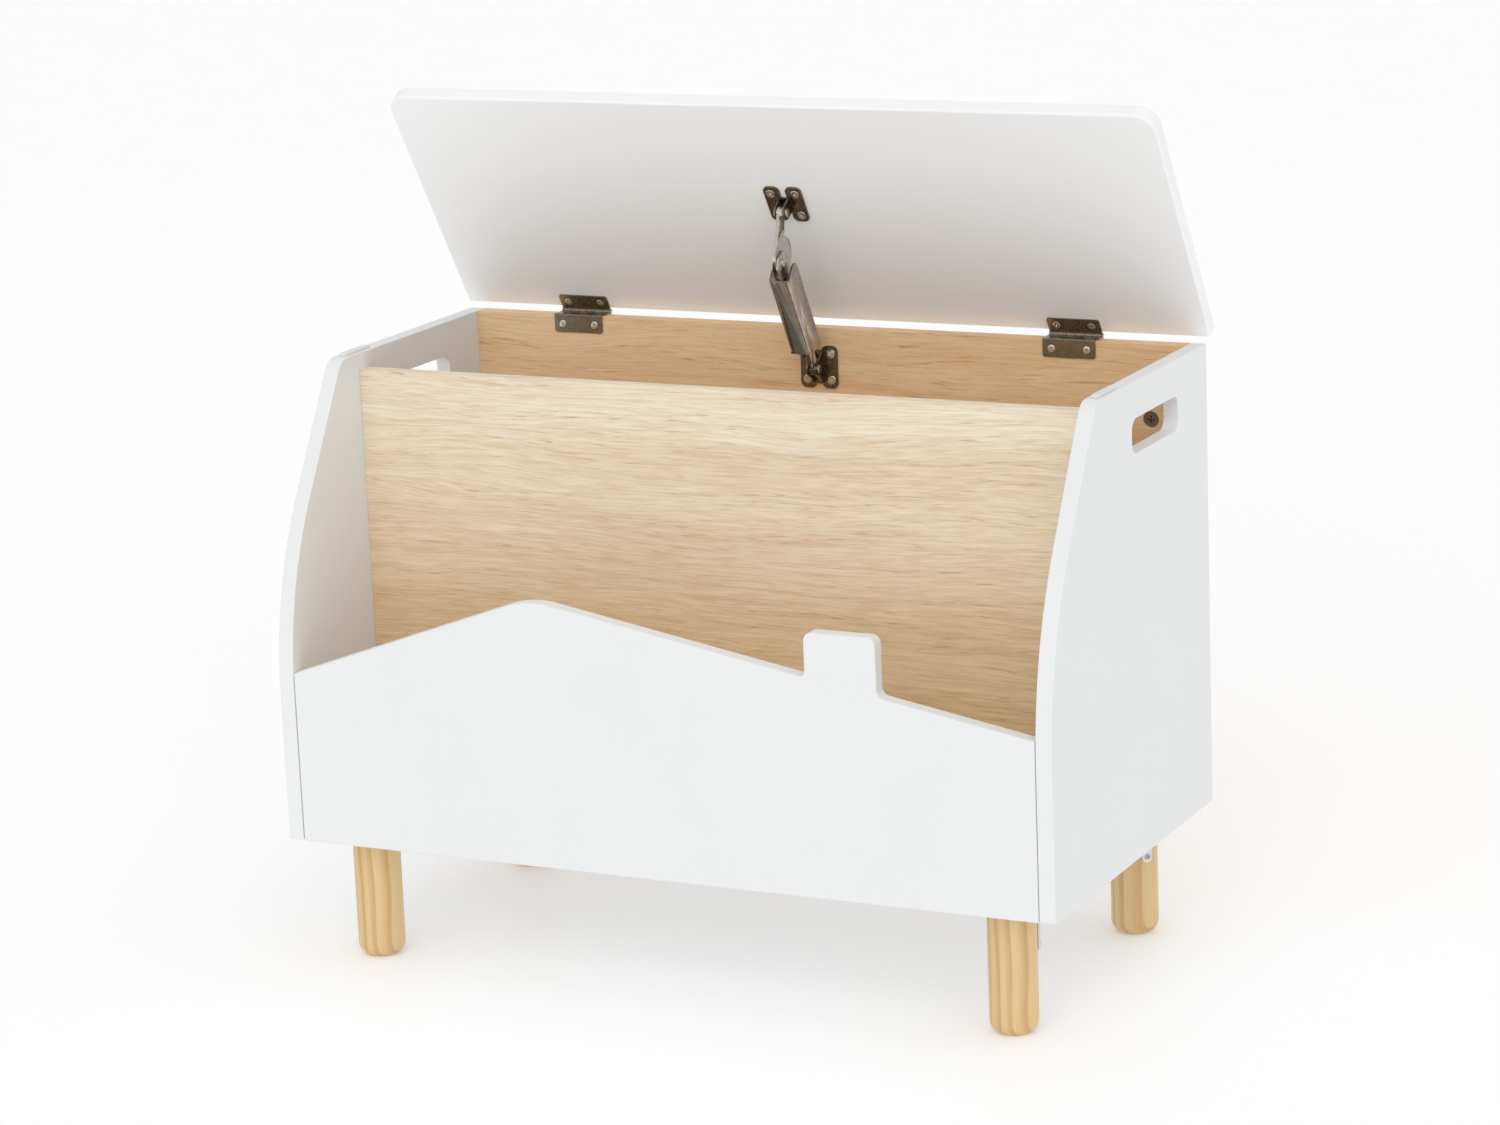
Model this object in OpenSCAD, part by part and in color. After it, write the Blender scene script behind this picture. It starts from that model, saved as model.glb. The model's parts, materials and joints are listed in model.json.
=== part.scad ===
// Toy box with a flip-up lid, a front book pocket, four turned legs and a sprung lid stay.
// Origin: centre of the footprint on the floor. +X right, +Y back, +Z up. Millimetres.
// Shapes are drawn in the box frame: y from the front face, z from the side panels' lower edge.

/* [Boards] */
// Width over the two side panels
box_w = 764; // [740:2:800]
// Depth of the side panels
box_d = 388; // [380:1:400]
// Height of the side panels
box_h = 431; // [425:1:440]
// Thickness of every board
board_t = 15; // [15:0.5:16]
// Distance from the front face to the divider
divider_y = 148; // [140:1:155]
// Height of the divider's top edge
divider_h = 415.5; // [400:0.5:420]
// Gap between the front panel's ends and the side panels
front_gap = 0.7; // [0.3:0.1:1.2]

/* [Side panel curve] */
// Slope of the upper front edge, from the vertical
curve_angle = 31; // [25:1:35]
// Radius of the curved front edge
curve_r = 345; // [300:5:380]
// Depth of the cut-away at the top edge
curve_top_y = 117.4; // [105:0.1:125]
// Radius where the front edge meets the top edge
curve_top_r = 20; // [10:1:30]
// Radius of the lower front corner
toe_r = 3; // [1:1:6]

/* [Hand holes] */
// Length of a hand hole
hole_l = 115; // [100:1:125]
// Height of a hand hole
hole_h = 31; // [28:1:36]
// Corner radius of a hand hole
hole_r = 11; // [8:1:14]
// Distance from the front face to the middle of a hand hole
hole_y = 257.5; // [240:0.5:265]
// Height of the middle of a hand hole
hole_z = 382.5; // [370:0.5:390]

/* [Roof line of the front panel] */
// Height of the front panel at its left end
roof_left_h = 160; // [150:1:170]
// Height of the front panel at its right end
roof_right_h = 161; // [150:1:170]
// Sideways place of the ridge
ridge_x = -118; // [-140:1:-90]
// Height of the ridge before it is rounded
ridge_h = 248.6; // [235:0.1:255]
// Radius of the ridge
ridge_r = 80; // [40:5:100]
// Left side of the chimney
chimney_left_x = 153; // [130:1:160]
// Width of the chimney
chimney_w = 68; // [60:1:75]
// Height of the chimney's top
chimney_h = 240; // [235:1:250]
// Radius of the chimney's upper corners
chimney_r = 8; // [4:1:10]
// Radius at the foot of the chimney
chimney_foot_r = 6; // [3:1:8]

/* [Lid] */
// Width of the lid
lid_w = 771; // [769:1:810]
// Length of the lid from back to front
lid_l = 260; // [255:1:264]
// Radius of the lid's front corners
lid_corner_r = 20; // [10:1:30]
// Opening angle of the lid as it stands, from closed
lid_angle = 58; // [50:1:64]
// Distance from the hinge axis to the lid's back edge
lid_back = 3.4; // [3.4:0.1:4]

/* [Hinges] */
// Distance from the middle to each hinge
hinge_x = 254.5; // [230:0.5:280]
// Length of a hinge
hinge_l = 52; // [50:1:56]
// Thickness of a hinge leaf
leaf_t = 1.2; // [1:0.1:1.4]
// Gap between the two leaves with the lid closed
leaf_gap = 0.4; // [0.4:0.1:0.8]
// Radius of a hinge knuckle
knuckle_r = 3; // [2.8:0.1:3]
// Radius of a hinge pin
hinge_pin_r = 1.25; // [1:0.05:1.4]
// Number of knuckles
knuckles = 6; // [4:2:8]

/* [Legs] */
// Height of a leg
leg_h = 119; // [100:1:140]
// Radius of a leg
leg_r = 22; // [20:1:24]
// Radius of the rounded foot
foot_r = 12; // [6:1:16]
// Distance from a leg's axis to the outside of the side panel
leg_inset_x = 62; // [58:1:70]
// Distance from the front face to a front leg's axis
leg_inset_front = 51; // [46:1:60]
// Distance from the back face to a rear leg's axis
leg_inset_rear = 45; // [42:1:56]
// Direction in which a leg's bracket faces, from the width
bracket_turn = 37; // [30:1:45]

/* [Lid stay] */
// Height of the lower bracket's pivot
stay_pivot_z = 394; // [390:1:398]
// Distance from the hinge axis to the upper bracket's pivot, along the lid
stay_pivot_u = 147.5; // [144:0.5:150]
// Distance from a bracket's base to its pivot
pivot_rise = 13; // [12:0.5:14]
// Length of the housing link, from the lower pivot to the knee
housing_link = 127; // [125:0.5:129]
// Length of the arm link, from the upper pivot to the knee
arm_link = 46.5; // [45:0.5:48]
// Width of the spring housing
housing_w = 20.5; // [20:0.5:21]
// Depth of the spring housing
housing_d = 23.5; // [22:0.5:24]
// Radius of the arm's cam lobe
cam_r = 17.5; // [16:0.5:17.5]
// Play of the knee pin in the arm
knee_play = 3.4; // [3.2:0.1:3.6]

/* [Hidden] */
$fn = 64;

// Colours
white_c = [0.93, 0.93, 0.92];
oak_c = [0.85, 0.66, 0.45];
pine_c = [0.90, 0.74, 0.50];
nickel_c = [0.45, 0.40, 0.36];
bright_c = [0.72, 0.70, 0.67];
zinc_c = [0.55, 0.53, 0.50];
beech_c = [0.82, 0.66, 0.45];
plastic_c = [0.95, 0.95, 0.94];

// Fits
slack = 0.1;           // play round a fastener in its hole
run_fit = 0.05;        // radial play of a pin in its bore
over = 1;              // how far a cutter runs past a face

// Frame
inner_x = box_w / 2 - board_t;
back_y = box_d - board_t;
hinge_y = box_d + knuckle_r + 0.3;
hinge_z = box_h + leaf_t + leaf_gap / 2;
lid_rise = leaf_gap / 2 + leaf_t;      // lid's underside above the hinge axis
lid_reach = (lid_rise + board_t) * sin(lid_angle) - lid_back * cos(lid_angle);
depth_mid = (hinge_y + lid_reach) / 2;

// Legs
leg_x = box_w / 2 - leg_inset_x;
leg_rear_y = box_d - leg_inset_rear;
bolt_r = 4;
bolt_up = 11;
bolt_down = 38;
insert_r = 5.5;
bracket_w = 10;
bracket_t = 2;
bracket_drop = 47;
bracket_foot = 24;

// Screws
screw_r = 1.6;
screw_head_r = 3.9;
stay_head_r = 4.5;
screw_head_t = 2.3;
screw_l = 11.5;
small_screw_r = 1.3;
small_head_r = 2.5;
hinge_screw_x = 17.3;
hinge_screw_in = 8.6;
leaf_l = 16.5;         // length of a hinge leaf from its bend or from the axis
leaf_r = 2.5;

// Bumper pads
pad_gap = 0.3;
pad_h = hinge_z + lid_rise - box_h - pad_gap;
pad_l = 46;
pad_w = 8;
pad_y = 131;

// Knock-down fittings
cam_lock_r = 7.5;
cam_lock_h = 12.6;
cam_reach = 34;
cam_bolt_r = 3;
cam_bolt_in = 11;
dowel_r = 4;
dowel_in = 10;
dowel_l = 32;
back_cam_z = [90, 361];
back_dowel_z = [48, 215, 405];
divider_cam_z = [80, 340];
divider_dowel_z = [45, 210, 385];
bottom_cam_y = [110, 255];
bottom_dowel_y = [35, 200];
front_cam_z = [105];
front_dowel_z = [38, 135];

// Lid stay
stay_screw = 12.5;
stay_shift = 1.5;      // the pads' middle, to the right of the stay's plane
stay_pad = 11.1;       // each pad's middle from the pads' middle
stay_pad_w = 16;
stay_pad_l = 40.5;
stay_plate_t = 2;
ear_right = 4.5;       // inner faces of the two ears
ear_left = 2.2;
ear_t = 1.8;
ear_r = 7;
low_ear_foot = 16;     // half the length of an ear's foot, on the lower and the upper bracket
top_ear_foot = 7.5;
pin_r = 2.5;
pin_head_r = 4;
pin_head_t = 1.5;
eye_r = 6;
eye_right = 4.2;
eye_left = 1.9;
arm_half = 1.5;
fork_in = 2;
fork_t = 1.6;
wall_t = 1.6;
housing_low = 20.5;
housing_shift = -0.75; // the housing's middle, from the stay's plane
housing_top = 113;
ear_top = 120;
housing_front = -11.3;
cam_off = [5, 7];      // cam lobe's centre from the knee, with the lid as it stands
spring_r = 5;
spring_wire_r = 0.9;
spring_turns = 9;
spring_low = 30;
spring_high = 96;

// Stay pivots in the box frame, as [y, z], and the elbow of the two links
function turned(p, a) = [p.x * cos(a) + p.y * sin(a), -p.x * sin(a) + p.y * cos(a)];
low_pivot = [back_y - pivot_rise, stay_pivot_z];
top_pivot = [hinge_y, hinge_z] + turned([-stay_pivot_u, lid_rise - pivot_rise], lid_angle);
function heading(v) = atan2(v.y, v.x);
function elbow(from, to, r1, r2) =
    let (d = norm(to - from), a = acos((r1 * r1 + d * d - r2 * r2) / (2 * r1 * d)))
    from + r1 * [cos(heading(to - from) + a), sin(heading(to - from) + a)];
knee = elbow(low_pivot, top_pivot, housing_link, arm_link);
housing_dir = heading(knee - low_pivot);
arm_dir = heading(knee - top_pivot);

// Outline helpers: a corner [x, y, r] becomes an arc of radius r
function arc_count(turn, r) = max(3, ceil(turn * (r > 50 ? 0.4 : 0.12)));
function corner_arc(p, c, n) =
    let (a = [p.x - c.x, p.y - c.y], b = [n.x - c.x, n.y - c.y],
         ua = a / norm(a), ub = b / norm(b), half = acos(ua * ub) / 2, r = c.z,
         mid = (ua + ub) / norm(ua + ub), o = [c.x, c.y] + mid * r / sin(half),
         start = [c.x, c.y] + ua * r / tan(half) - o,
         side = sign(ua.x * ub.y - ua.y * ub.x), sweep = 180 - 2 * half, k = arc_count(sweep, r))
    [for (i = [0 : k]) let (t = heading(start) - side * sweep * i / k) o + r * [cos(t), sin(t)]];
function rounded(pts) =
    let (n = len(pts))
    [for (i = [0 : n - 1])
        let (c = pts[i])
        each (c.z == 0 ? [[c.x, c.y]] : corner_arc(pts[(i + n - 1) % n], c, pts[(i + 1) % n]))];

// Placing helpers
module in_frame() { translate([0, -depth_mid, leg_h]) children(); }
module in_lid() { in_frame() translate([0, hinge_y, hinge_z]) rotate([-lid_angle, 0, 0]) children(); }
// Back panel's inner face: local y up, local z out of the face
module on_back() { in_frame() translate([0, back_y, 0]) rotate([90, 0, 0]) children(); }
// Lid's underside: local y away from the hinge, local z out of the face
module on_lid() { in_lid() translate([0, 0, lid_rise]) rotate([180, 0, 0]) children(); }
// Stay housing: local z from the lower pivot to the knee, front towards -y
module in_housing() {
    in_frame() translate([0, low_pivot.x, low_pivot.y]) rotate([housing_dir - 90, 0, 0]) children();
}
// Stay arm: local z down from the upper pivot to the knee
module in_arm() {
    in_frame() translate([0, top_pivot.x, top_pivot.y]) rotate([arm_dir - 270, 0, 0]) children();
}
// A (y, z) outline made a slab from x0 to x1
module slab(x0, x1) { translate([x0, 0, 0]) rotate([90, 0, 90]) linear_extrude(x1 - x0) children(); }
// A round bar along X
module bar(x0, x1, r) { translate([x0, 0, 0]) rotate([0, 90, 0]) cylinder(r = r, h = x1 - x0); }
// A bar along X through the box frame point (y, z)
module bar_at(y, z, x0, x1, r) { translate([0, y, z]) bar(x0, x1, r); }
module both_sides() {
    children();
    mirror([1, 0, 0]) children();
}
module plate(w, l, t, r) {
    linear_extrude(t)
        polygon(rounded([[-w / 2, -l / 2, r], [w / 2, -l / 2, r], [w / 2, l / 2, r], [-w / 2, l / 2, r]]));
}

// Fastener shapes, pointing down local -z with the head's rim at z = 0
module cross_recess(size, depth) {
    for (a = [0, 90]) rotate([0, 0, a]) translate([-size / 2, -0.45, -depth]) cube([size, 0.9, depth + over]);
}
module flat_screw(head_r) {
    difference() {
        union() {
            translate([0, 0, -screw_head_t]) cylinder(r1 = screw_r, r2 = head_r, h = screw_head_t);
            translate([0, 0, -screw_l + 2]) cylinder(r = screw_r, h = screw_l - 2 - screw_head_t + 0.2);
            translate([0, 0, -screw_l]) cylinder(r1 = 0.3, r2 = screw_r, h = 2.01);
        }
        cross_recess(4.2, 1.4);
    }
}
module flat_screw_hole(head_r) {
    translate([0, 0, -screw_head_t - slack])
        cylinder(r1 = screw_r + slack, r2 = head_r + slack, h = screw_head_t + slack);
    cylinder(r = head_r + slack, h = over);
    translate([0, 0, -screw_l - slack]) cylinder(r = screw_r + slack, h = screw_l);
}
module pan_screw(length) {
    difference() {
        union() {
            cylinder(r = small_head_r, h = 1.2);
            translate([0, 0, -length]) cylinder(r = small_screw_r, h = length + 0.2);
        }
        translate([0, 0, 1.2]) cross_recess(2.6, 0.8);
    }
}
module pan_screw_hole(length) {
    translate([0, 0, -length - slack]) cylinder(r = small_screw_r + slack, h = length + 2 * slack);
}

// Where the screws go
module at_hinge_body_screws() {
    for (sx = [-1, 1], hx = [-1, 1])
        on_back() translate([sx * hinge_x + hx * hinge_screw_x, box_h - hinge_screw_in, leaf_t]) children();
}
module at_hinge_lid_screws() {
    for (sx = [-1, 1], hx = [-1, 1])
        on_lid() translate([sx * hinge_x + hx * hinge_screw_x, hinge_screw_in + 2.6, leaf_t]) children();
}
module at_bracket_screws() {
    for (sx = [-1, 1], sy = [-1, 1])
        translate([stay_shift + sx * stay_screw, sy * stay_screw, stay_plate_t]) children();
}
module at_low_screws() { on_back() translate([0, stay_pivot_z, 0]) at_bracket_screws() children(); }
module at_top_screws() { on_lid() translate([0, stay_pivot_u, 0]) at_bracket_screws() children(); }

// End fittings of the boards: [y, z] on the side panels
function along_z(y, zs) = [for (z = zs) [y, z]];
function along_y(ys, z) = [for (y = ys) [y, z]];
half_t = board_t / 2;
back_bolts = along_z(back_y + half_t, back_cam_z);
back_dowels = along_z(back_y + half_t, back_dowel_z);
divider_bolts = along_z(divider_y + half_t, divider_cam_z);
divider_dowels = along_z(divider_y + half_t, divider_dowel_z);
bottom_bolts = along_y(bottom_cam_y, half_t);
bottom_dowels = along_y(bottom_dowel_y, half_t);
front_bolts = along_z(half_t, front_cam_z);
front_dowels = along_z(half_t, front_dowel_z);
bolt_points = concat(back_bolts, divider_bolts, bottom_bolts, front_bolts);
dowel_points = concat(back_dowels, divider_dowels, bottom_dowels, front_dowels);

// Holes for the fittings in a board that ends at the side panels
module end_bores(bolts, dowels) {
    both_sides() {
        for (p = bolts) bar_at(p.x, p.y, inner_x - cam_reach, inner_x + over, dowel_r);
        for (p = dowels)
            bar_at(p.x, p.y, inner_x + dowel_in - dowel_l - slack, inner_x + over, dowel_r + slack);
    }
}
// Places of a board's cam locks: local z points into the board from the face that shows them
module cam_places(spots, turn) {
    for (sx = [-1, 1], p = spots) translate([sx * (inner_x - cam_reach), p.x, p.y]) rotate(turn) children();
}
module cam_lock() {
    difference() {
        cylinder(r = cam_lock_r, h = cam_lock_h);
        translate([0, 0, half_t]) bar(-cam_lock_r - over, cam_lock_r + over, dowel_r);
        mirror([0, 0, 1]) cross_recess(7, 1.8);
    }
}
module cam_bore() { translate([0, 0, -over]) cylinder(r = cam_lock_r + slack, h = cam_lock_h + 0.2 + over); }

module at_back_cams() { cam_places(along_z(back_y, back_cam_z), [-90, 0, 0]) children(); }
module at_divider_cams() { cam_places(along_z(divider_y + board_t, divider_cam_z), [90, 0, 0]) children(); }
module at_bottom_cams() { cam_places(along_y(bottom_cam_y, 0), [0, 0, 0]) children(); }
module at_front_cams() { cam_places(along_z(board_t, front_cam_z), [90, 0, 0]) children(); }

// Boards
corner_z = box_h - curve_top_y / tan(curve_angle);   // where the sloping edge would meet the front face
module side_outline() {
    polygon(rounded([[0, 0, toe_r], [box_d, 0, 0], [box_d, box_h, 0], [curve_top_y, box_h, curve_top_r],
        [0, corner_z, curve_r]]));
}
module hand_hole_outline() {
    y = hole_l / 2;
    z = hole_h / 2;
    translate([hole_y, hole_z])
        polygon(rounded([[-y, -z, hole_r], [y, -z, hole_r], [y, z, hole_r], [-y, z, hole_r]]));
}
// The right-hand side panel; the left one is its mirror image
module side_panel() {
    in_frame() difference() {
        slab(inner_x, box_w / 2) difference() {
            side_outline();
            hand_hole_outline();
        }
        for (p = bolt_points)
            bar_at(p.x, p.y, inner_x - over, inner_x + cam_bolt_in + slack, cam_bolt_r + slack);
        for (p = dowel_points)
            bar_at(p.x, p.y, inner_x - over, inner_x + dowel_in + slack, dowel_r + slack);
    }
}
module right_side_panel() { color(white_c) side_panel(); }
module left_side_panel() { color(white_c) mirror([1, 0, 0]) side_panel(); }

module back_panel() {
    color(oak_c) difference() {
        in_frame() difference() {
            translate([-inner_x, back_y, 0]) cube([2 * inner_x, board_t, box_h]);
            end_bores(back_bolts, back_dowels);
            at_back_cams() cam_bore();
        }
        at_hinge_body_screws() flat_screw_hole(screw_head_r);
        at_low_screws() flat_screw_hole(stay_head_r);
    }
}
module divider_panel() {
    color(oak_c) in_frame() difference() {
        translate([-inner_x, divider_y, board_t]) cube([2 * inner_x, board_t, divider_h - board_t]);
        end_bores(divider_bolts, divider_dowels);
        at_divider_cams() cam_bore();
    }
}
module bottom_panel() {
    color(white_c) difference() {
        in_frame() difference() {
            translate([-inner_x, board_t, 0]) cube([2 * inner_x, back_y - board_t, board_t]);
            end_bores(bottom_bolts, bottom_dowels);
            at_bottom_cams() cam_bore();
            at_legs() translate([0, 0, -over]) cylinder(r = insert_r + slack, h = bolt_up + 1 + over);
        }
        each_bracket() foot_screw_place() pan_screw_hole(9);
    }
}

// Roof line: two slopes from the ends to the ridge, with the chimney on the right-hand one
front_half = inner_x - front_gap;
right_fall = (ridge_h - roof_right_h) / (front_half - ridge_x);
function roof_z(x) = ridge_h - (x - ridge_x) * right_fall;
chimney_right_x = chimney_left_x + chimney_w;
module front_outline() {
    polygon(rounded([[-front_half, 0, 0], [front_half, 0, 0], [front_half, roof_right_h, 0],
        [chimney_right_x, roof_z(chimney_right_x), chimney_foot_r], [chimney_right_x, chimney_h, chimney_r],
        [chimney_left_x, chimney_h, chimney_r], [chimney_left_x, roof_z(chimney_left_x), chimney_foot_r],
        [ridge_x, ridge_h, ridge_r], [-front_half, roof_left_h, 0]]));
}
module front_panel() {
    color(white_c) in_frame() difference() {
        translate([0, board_t, 0]) rotate([90, 0, 0]) linear_extrude(board_t) front_outline();
        end_bores(front_bolts, front_dowels);
        at_front_cams() cam_bore();
    }
}
module lid() {
    rear_r = 3;
    color(white_c) difference() {
        in_lid() translate([0, 0, lid_rise]) linear_extrude(board_t)
            polygon(rounded([[-lid_w / 2, -lid_back, rear_r], [-lid_w / 2, -lid_back - lid_l, lid_corner_r],
                [lid_w / 2, -lid_back - lid_l, lid_corner_r], [lid_w / 2, -lid_back, rear_r]]));
        at_hinge_lid_screws() flat_screw_hole(screw_head_r);
        at_top_screws() flat_screw_hole(stay_head_r);
    }
}

// Legs and what holds them
module at_leg(sx, y) { translate([sx * leg_x, y, 0]) children(); }
module at_legs() { for (sx = [-1, 1], y = [leg_inset_front, leg_rear_y]) at_leg(sx, y) children(); }
// At each leg, with local +x outwards and towards the middle of the box's depth
module each_bracket() {
    in_frame() for (left = [0, 1], front = [0, 1])
        at_leg(1 - 2 * left, front == 1 ? leg_inset_front : leg_rear_y)
            mirror([left, 0, 0]) mirror([0, front, 0]) rotate([0, 0, -bracket_turn]) children();
}
module leg(sx, y) {
    color(pine_c) difference() {
        in_frame() at_leg(sx, y) difference() {
            translate([0, 0, -leg_h]) rotate_extrude() {
                square([leg_r - foot_r, leg_h]);
                translate([0, foot_r]) square([leg_r, leg_h - foot_r]);
                intersection() {
                    translate([leg_r - foot_r, foot_r]) circle(r = foot_r);
                    square([leg_r, leg_h]);
                }
            }
            translate([0, 0, -bolt_down - slack]) cylinder(r = bolt_r + slack, h = bolt_down + over);
        }
        each_bracket() leg_screw_place() pan_screw_hole(12);
    }
}
module leg_front_left() { leg(-1, leg_inset_front); }
module leg_front_right() { leg(1, leg_inset_front); }
module leg_rear_left() { leg(-1, leg_rear_y); }
module leg_rear_right() { leg(1, leg_rear_y); }
module hanger_bolts() {
    color(zinc_c) in_frame() at_legs()
        translate([0, 0, -bolt_down]) cylinder(r = bolt_r, h = bolt_down + bolt_up);
}
module threaded_inserts() {
    color(zinc_c) in_frame() at_legs() difference() {
        cylinder(r = insert_r, h = bolt_up + 0.5);
        translate([0, 0, -over]) cylinder(r = bolt_r + slack, h = bolt_up + 0.5 + 2 * over);
    }
}
// Bracket screws: one into the leg, one up into the bottom panel
module leg_screw_place() {
    translate([leg_r + bracket_t, 0, -bracket_drop + 5.5]) rotate([0, 90, 0]) children();
}
module foot_screw_place() {
    translate([leg_r + bracket_t + 14, 0, -bracket_t]) rotate([180, 0, 0]) children();
}
module leg_brackets() {
    color(plastic_c) each_bracket() difference() {
        union() {
            translate([leg_r, 0, 0]) rotate([0, 90, 0]) linear_extrude(bracket_t)
                polygon(rounded([[0, -bracket_w / 2, 0], [bracket_drop, -bracket_w / 2, 4],
                    [bracket_drop, bracket_w / 2, 4], [0, bracket_w / 2, 0]]));
            translate([leg_r, 0, -bracket_t]) linear_extrude(bracket_t)
                polygon(rounded([[0, -bracket_w / 2, 0], [bracket_foot, -bracket_w / 2, 4],
                    [bracket_foot, bracket_w / 2, 4], [0, bracket_w / 2, 0]]));
        }
        leg_screw_place() pan_screw_hole(12);
        foot_screw_place() pan_screw_hole(9);
    }
}
module leg_bracket_screws() {
    color(zinc_c) each_bracket() {
        leg_screw_place() pan_screw(12);
        foot_screw_place() pan_screw(9);
    }
}

// Bumper pads on the side panels' top edges
module bumper_pad(sx) {
    color(plastic_c) in_frame() translate([sx * (box_w / 2 - half_t), pad_y + pad_l / 2, box_h])
        plate(pad_w, pad_l, pad_h, 3.5);
}
module bumper_pad_left() { bumper_pad(-1); }
module bumper_pad_right() { bumper_pad(1); }

// Hinges. Even knuckles belong to the body leaf, odd ones to the lid leaf
pitch = hinge_l / knuckles;
knuckle_gap = 0.35;
module knuckle_bars(odd, r, gap) {
    for (i = [0 : knuckles - 1])
        if (i % 2 == odd)
            bar(-hinge_l / 2 + i * pitch + (i == 0 ? 0 : gap / 2),
                -hinge_l / 2 + (i + 1) * pitch - (i == knuckles - 1 ? 0 : gap / 2), r);
}
module leaf(length) {
    linear_extrude(leaf_t) polygon(rounded([[-hinge_l / 2, 0, 0], [hinge_l / 2, 0, 0],
        [hinge_l / 2, length, leaf_r], [-hinge_l / 2, length, leaf_r]]));
}
module at_hinge_axis(sx) { in_frame() translate([sx * hinge_x, hinge_y, hinge_z]) children(); }
module body_leaf(sx) {
    strap_l = hinge_y - back_y + leaf_t;
    color(nickel_c) difference() {
        union() {
            // flange down the inner face of the back panel
            on_back() translate([sx * hinge_x, box_h + leaf_t, 0]) mirror([0, 1, 0]) leaf(leaf_l + leaf_t);
            // strap over the back panel's top edge
            in_frame() translate([sx * hinge_x - hinge_l / 2, back_y - leaf_t, box_h])
                cube([hinge_l, strap_l, leaf_t]);
            at_hinge_axis(sx) knuckle_bars(0, knuckle_r, knuckle_gap);
        }
        at_hinge_axis(sx) knuckle_bars(1, knuckle_r + 0.5, -knuckle_gap);
        at_hinge_axis(sx) bar(-hinge_l, hinge_l, hinge_pin_r + run_fit);
        at_hinge_body_screws() flat_screw_hole(screw_head_r);
    }
}
module lid_leaf(sx) {
    color(nickel_c) difference() {
        union() {
            on_lid() translate([sx * hinge_x, 0, 0]) leaf(leaf_l + 2.6);
            in_lid() translate([sx * hinge_x, 0, 0]) knuckle_bars(1, knuckle_r, knuckle_gap);
        }
        in_lid() translate([sx * hinge_x, 0, 0]) knuckle_bars(0, knuckle_r + 0.5, -knuckle_gap);
        in_lid() translate([sx * hinge_x, 0, 0]) bar(-hinge_l, hinge_l, hinge_pin_r + run_fit);
        at_hinge_lid_screws() flat_screw_hole(screw_head_r);
    }
}
module hinge_pin(sx) {
    color(bright_c) at_hinge_axis(sx) {
        bar(-hinge_l / 2 - 0.5, hinge_l / 2 + 0.5, hinge_pin_r);
        bar(-hinge_l / 2 - 0.9, -hinge_l / 2 - 0.1, hinge_pin_r + 0.8);
        bar(hinge_l / 2 + 0.1, hinge_l / 2 + 0.9, hinge_pin_r + 0.8);
    }
}
module hinge_left_body_leaf() { body_leaf(-1); }
module hinge_left_lid_leaf() { lid_leaf(-1); }
module hinge_left_pin() { hinge_pin(-1); }
module hinge_right_body_leaf() { body_leaf(1); }
module hinge_right_lid_leaf() { lid_leaf(1); }
module hinge_right_pin() { hinge_pin(1); }
module hinge_body_screws() { color(bright_c) at_hinge_body_screws() flat_screw(screw_head_r); }
module hinge_lid_screws() { color(bright_c) at_hinge_lid_screws() flat_screw(screw_head_r); }

// Stay brackets: two screw pads joined by a web, with an ear folded up beside each pad.
// Local z out of the mounting face, pivot along x at z = pivot_rise.
// An ear narrows from its foot to the round end about the pivot.
module ear_outline(foot) {
    inside = ear_r - 0.3;
    side = heading([foot, -pivot_rise]) + acos(inside / norm([foot, pivot_rise]));
    touch = [inside * cos(side), pivot_rise + inside * sin(side)];
    translate([0, pivot_rise]) circle(r = ear_r);
    polygon([[-foot, 0], [foot, 0], touch, [-touch.x, touch.y]]);
}
module stay_bracket(foot) {
    difference() {
        union() {
            for (sx = [-1, 1])
                translate([stay_shift + sx * stay_pad, 0, 0])
                    plate(stay_pad_w, stay_pad_l, stay_plate_t, 5.5);
            slab(ear_right, ear_right + ear_t) ear_outline(foot);
            slab(-ear_left - ear_t, -ear_left) ear_outline(foot);
            translate([-stay_pad, -foot, 0]) cube([2 * stay_pad, 2 * foot, stay_plate_t]);
        }
        translate([0, 0, pivot_rise])
            bar(-ear_left - ear_t - over, ear_right + ear_t + over, pin_r + run_fit);
    }
}
module pivot_pin(left, right) {
    bar(-left - 0.2, right + 0.2, pin_r);
    bar(right + 0.1, right + 0.1 + pin_head_t, pin_head_r);
    bar(-left - 0.1 - pin_head_t, -left - 0.1, pin_head_r);
}
module on_low_pivot() { on_back() translate([0, stay_pivot_z, 0]) children(); }
module on_top_pivot() { on_lid() translate([0, stay_pivot_u, 0]) children(); }
module stay_lower_bracket() {
    color(nickel_c) difference() {
        on_low_pivot() stay_bracket(low_ear_foot);
        at_low_screws() flat_screw_hole(stay_head_r);
    }
}
module stay_upper_bracket() {
    color(nickel_c) difference() {
        on_top_pivot() stay_bracket(top_ear_foot);
        at_top_screws() flat_screw_hole(stay_head_r);
    }
}
module stay_lower_pin() {
    color(bright_c) on_low_pivot() translate([0, 0, pivot_rise])
        pivot_pin(ear_left + ear_t, ear_right + ear_t);
}
module stay_upper_pin() {
    color(bright_c) on_top_pivot() translate([0, 0, pivot_rise])
        pivot_pin(ear_left + ear_t, ear_right + ear_t);
}
module stay_lower_screws() { color(bright_c) at_low_screws() flat_screw(stay_head_r); }
module stay_upper_screws() { color(bright_c) at_top_screws() flat_screw(stay_head_r); }

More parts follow.
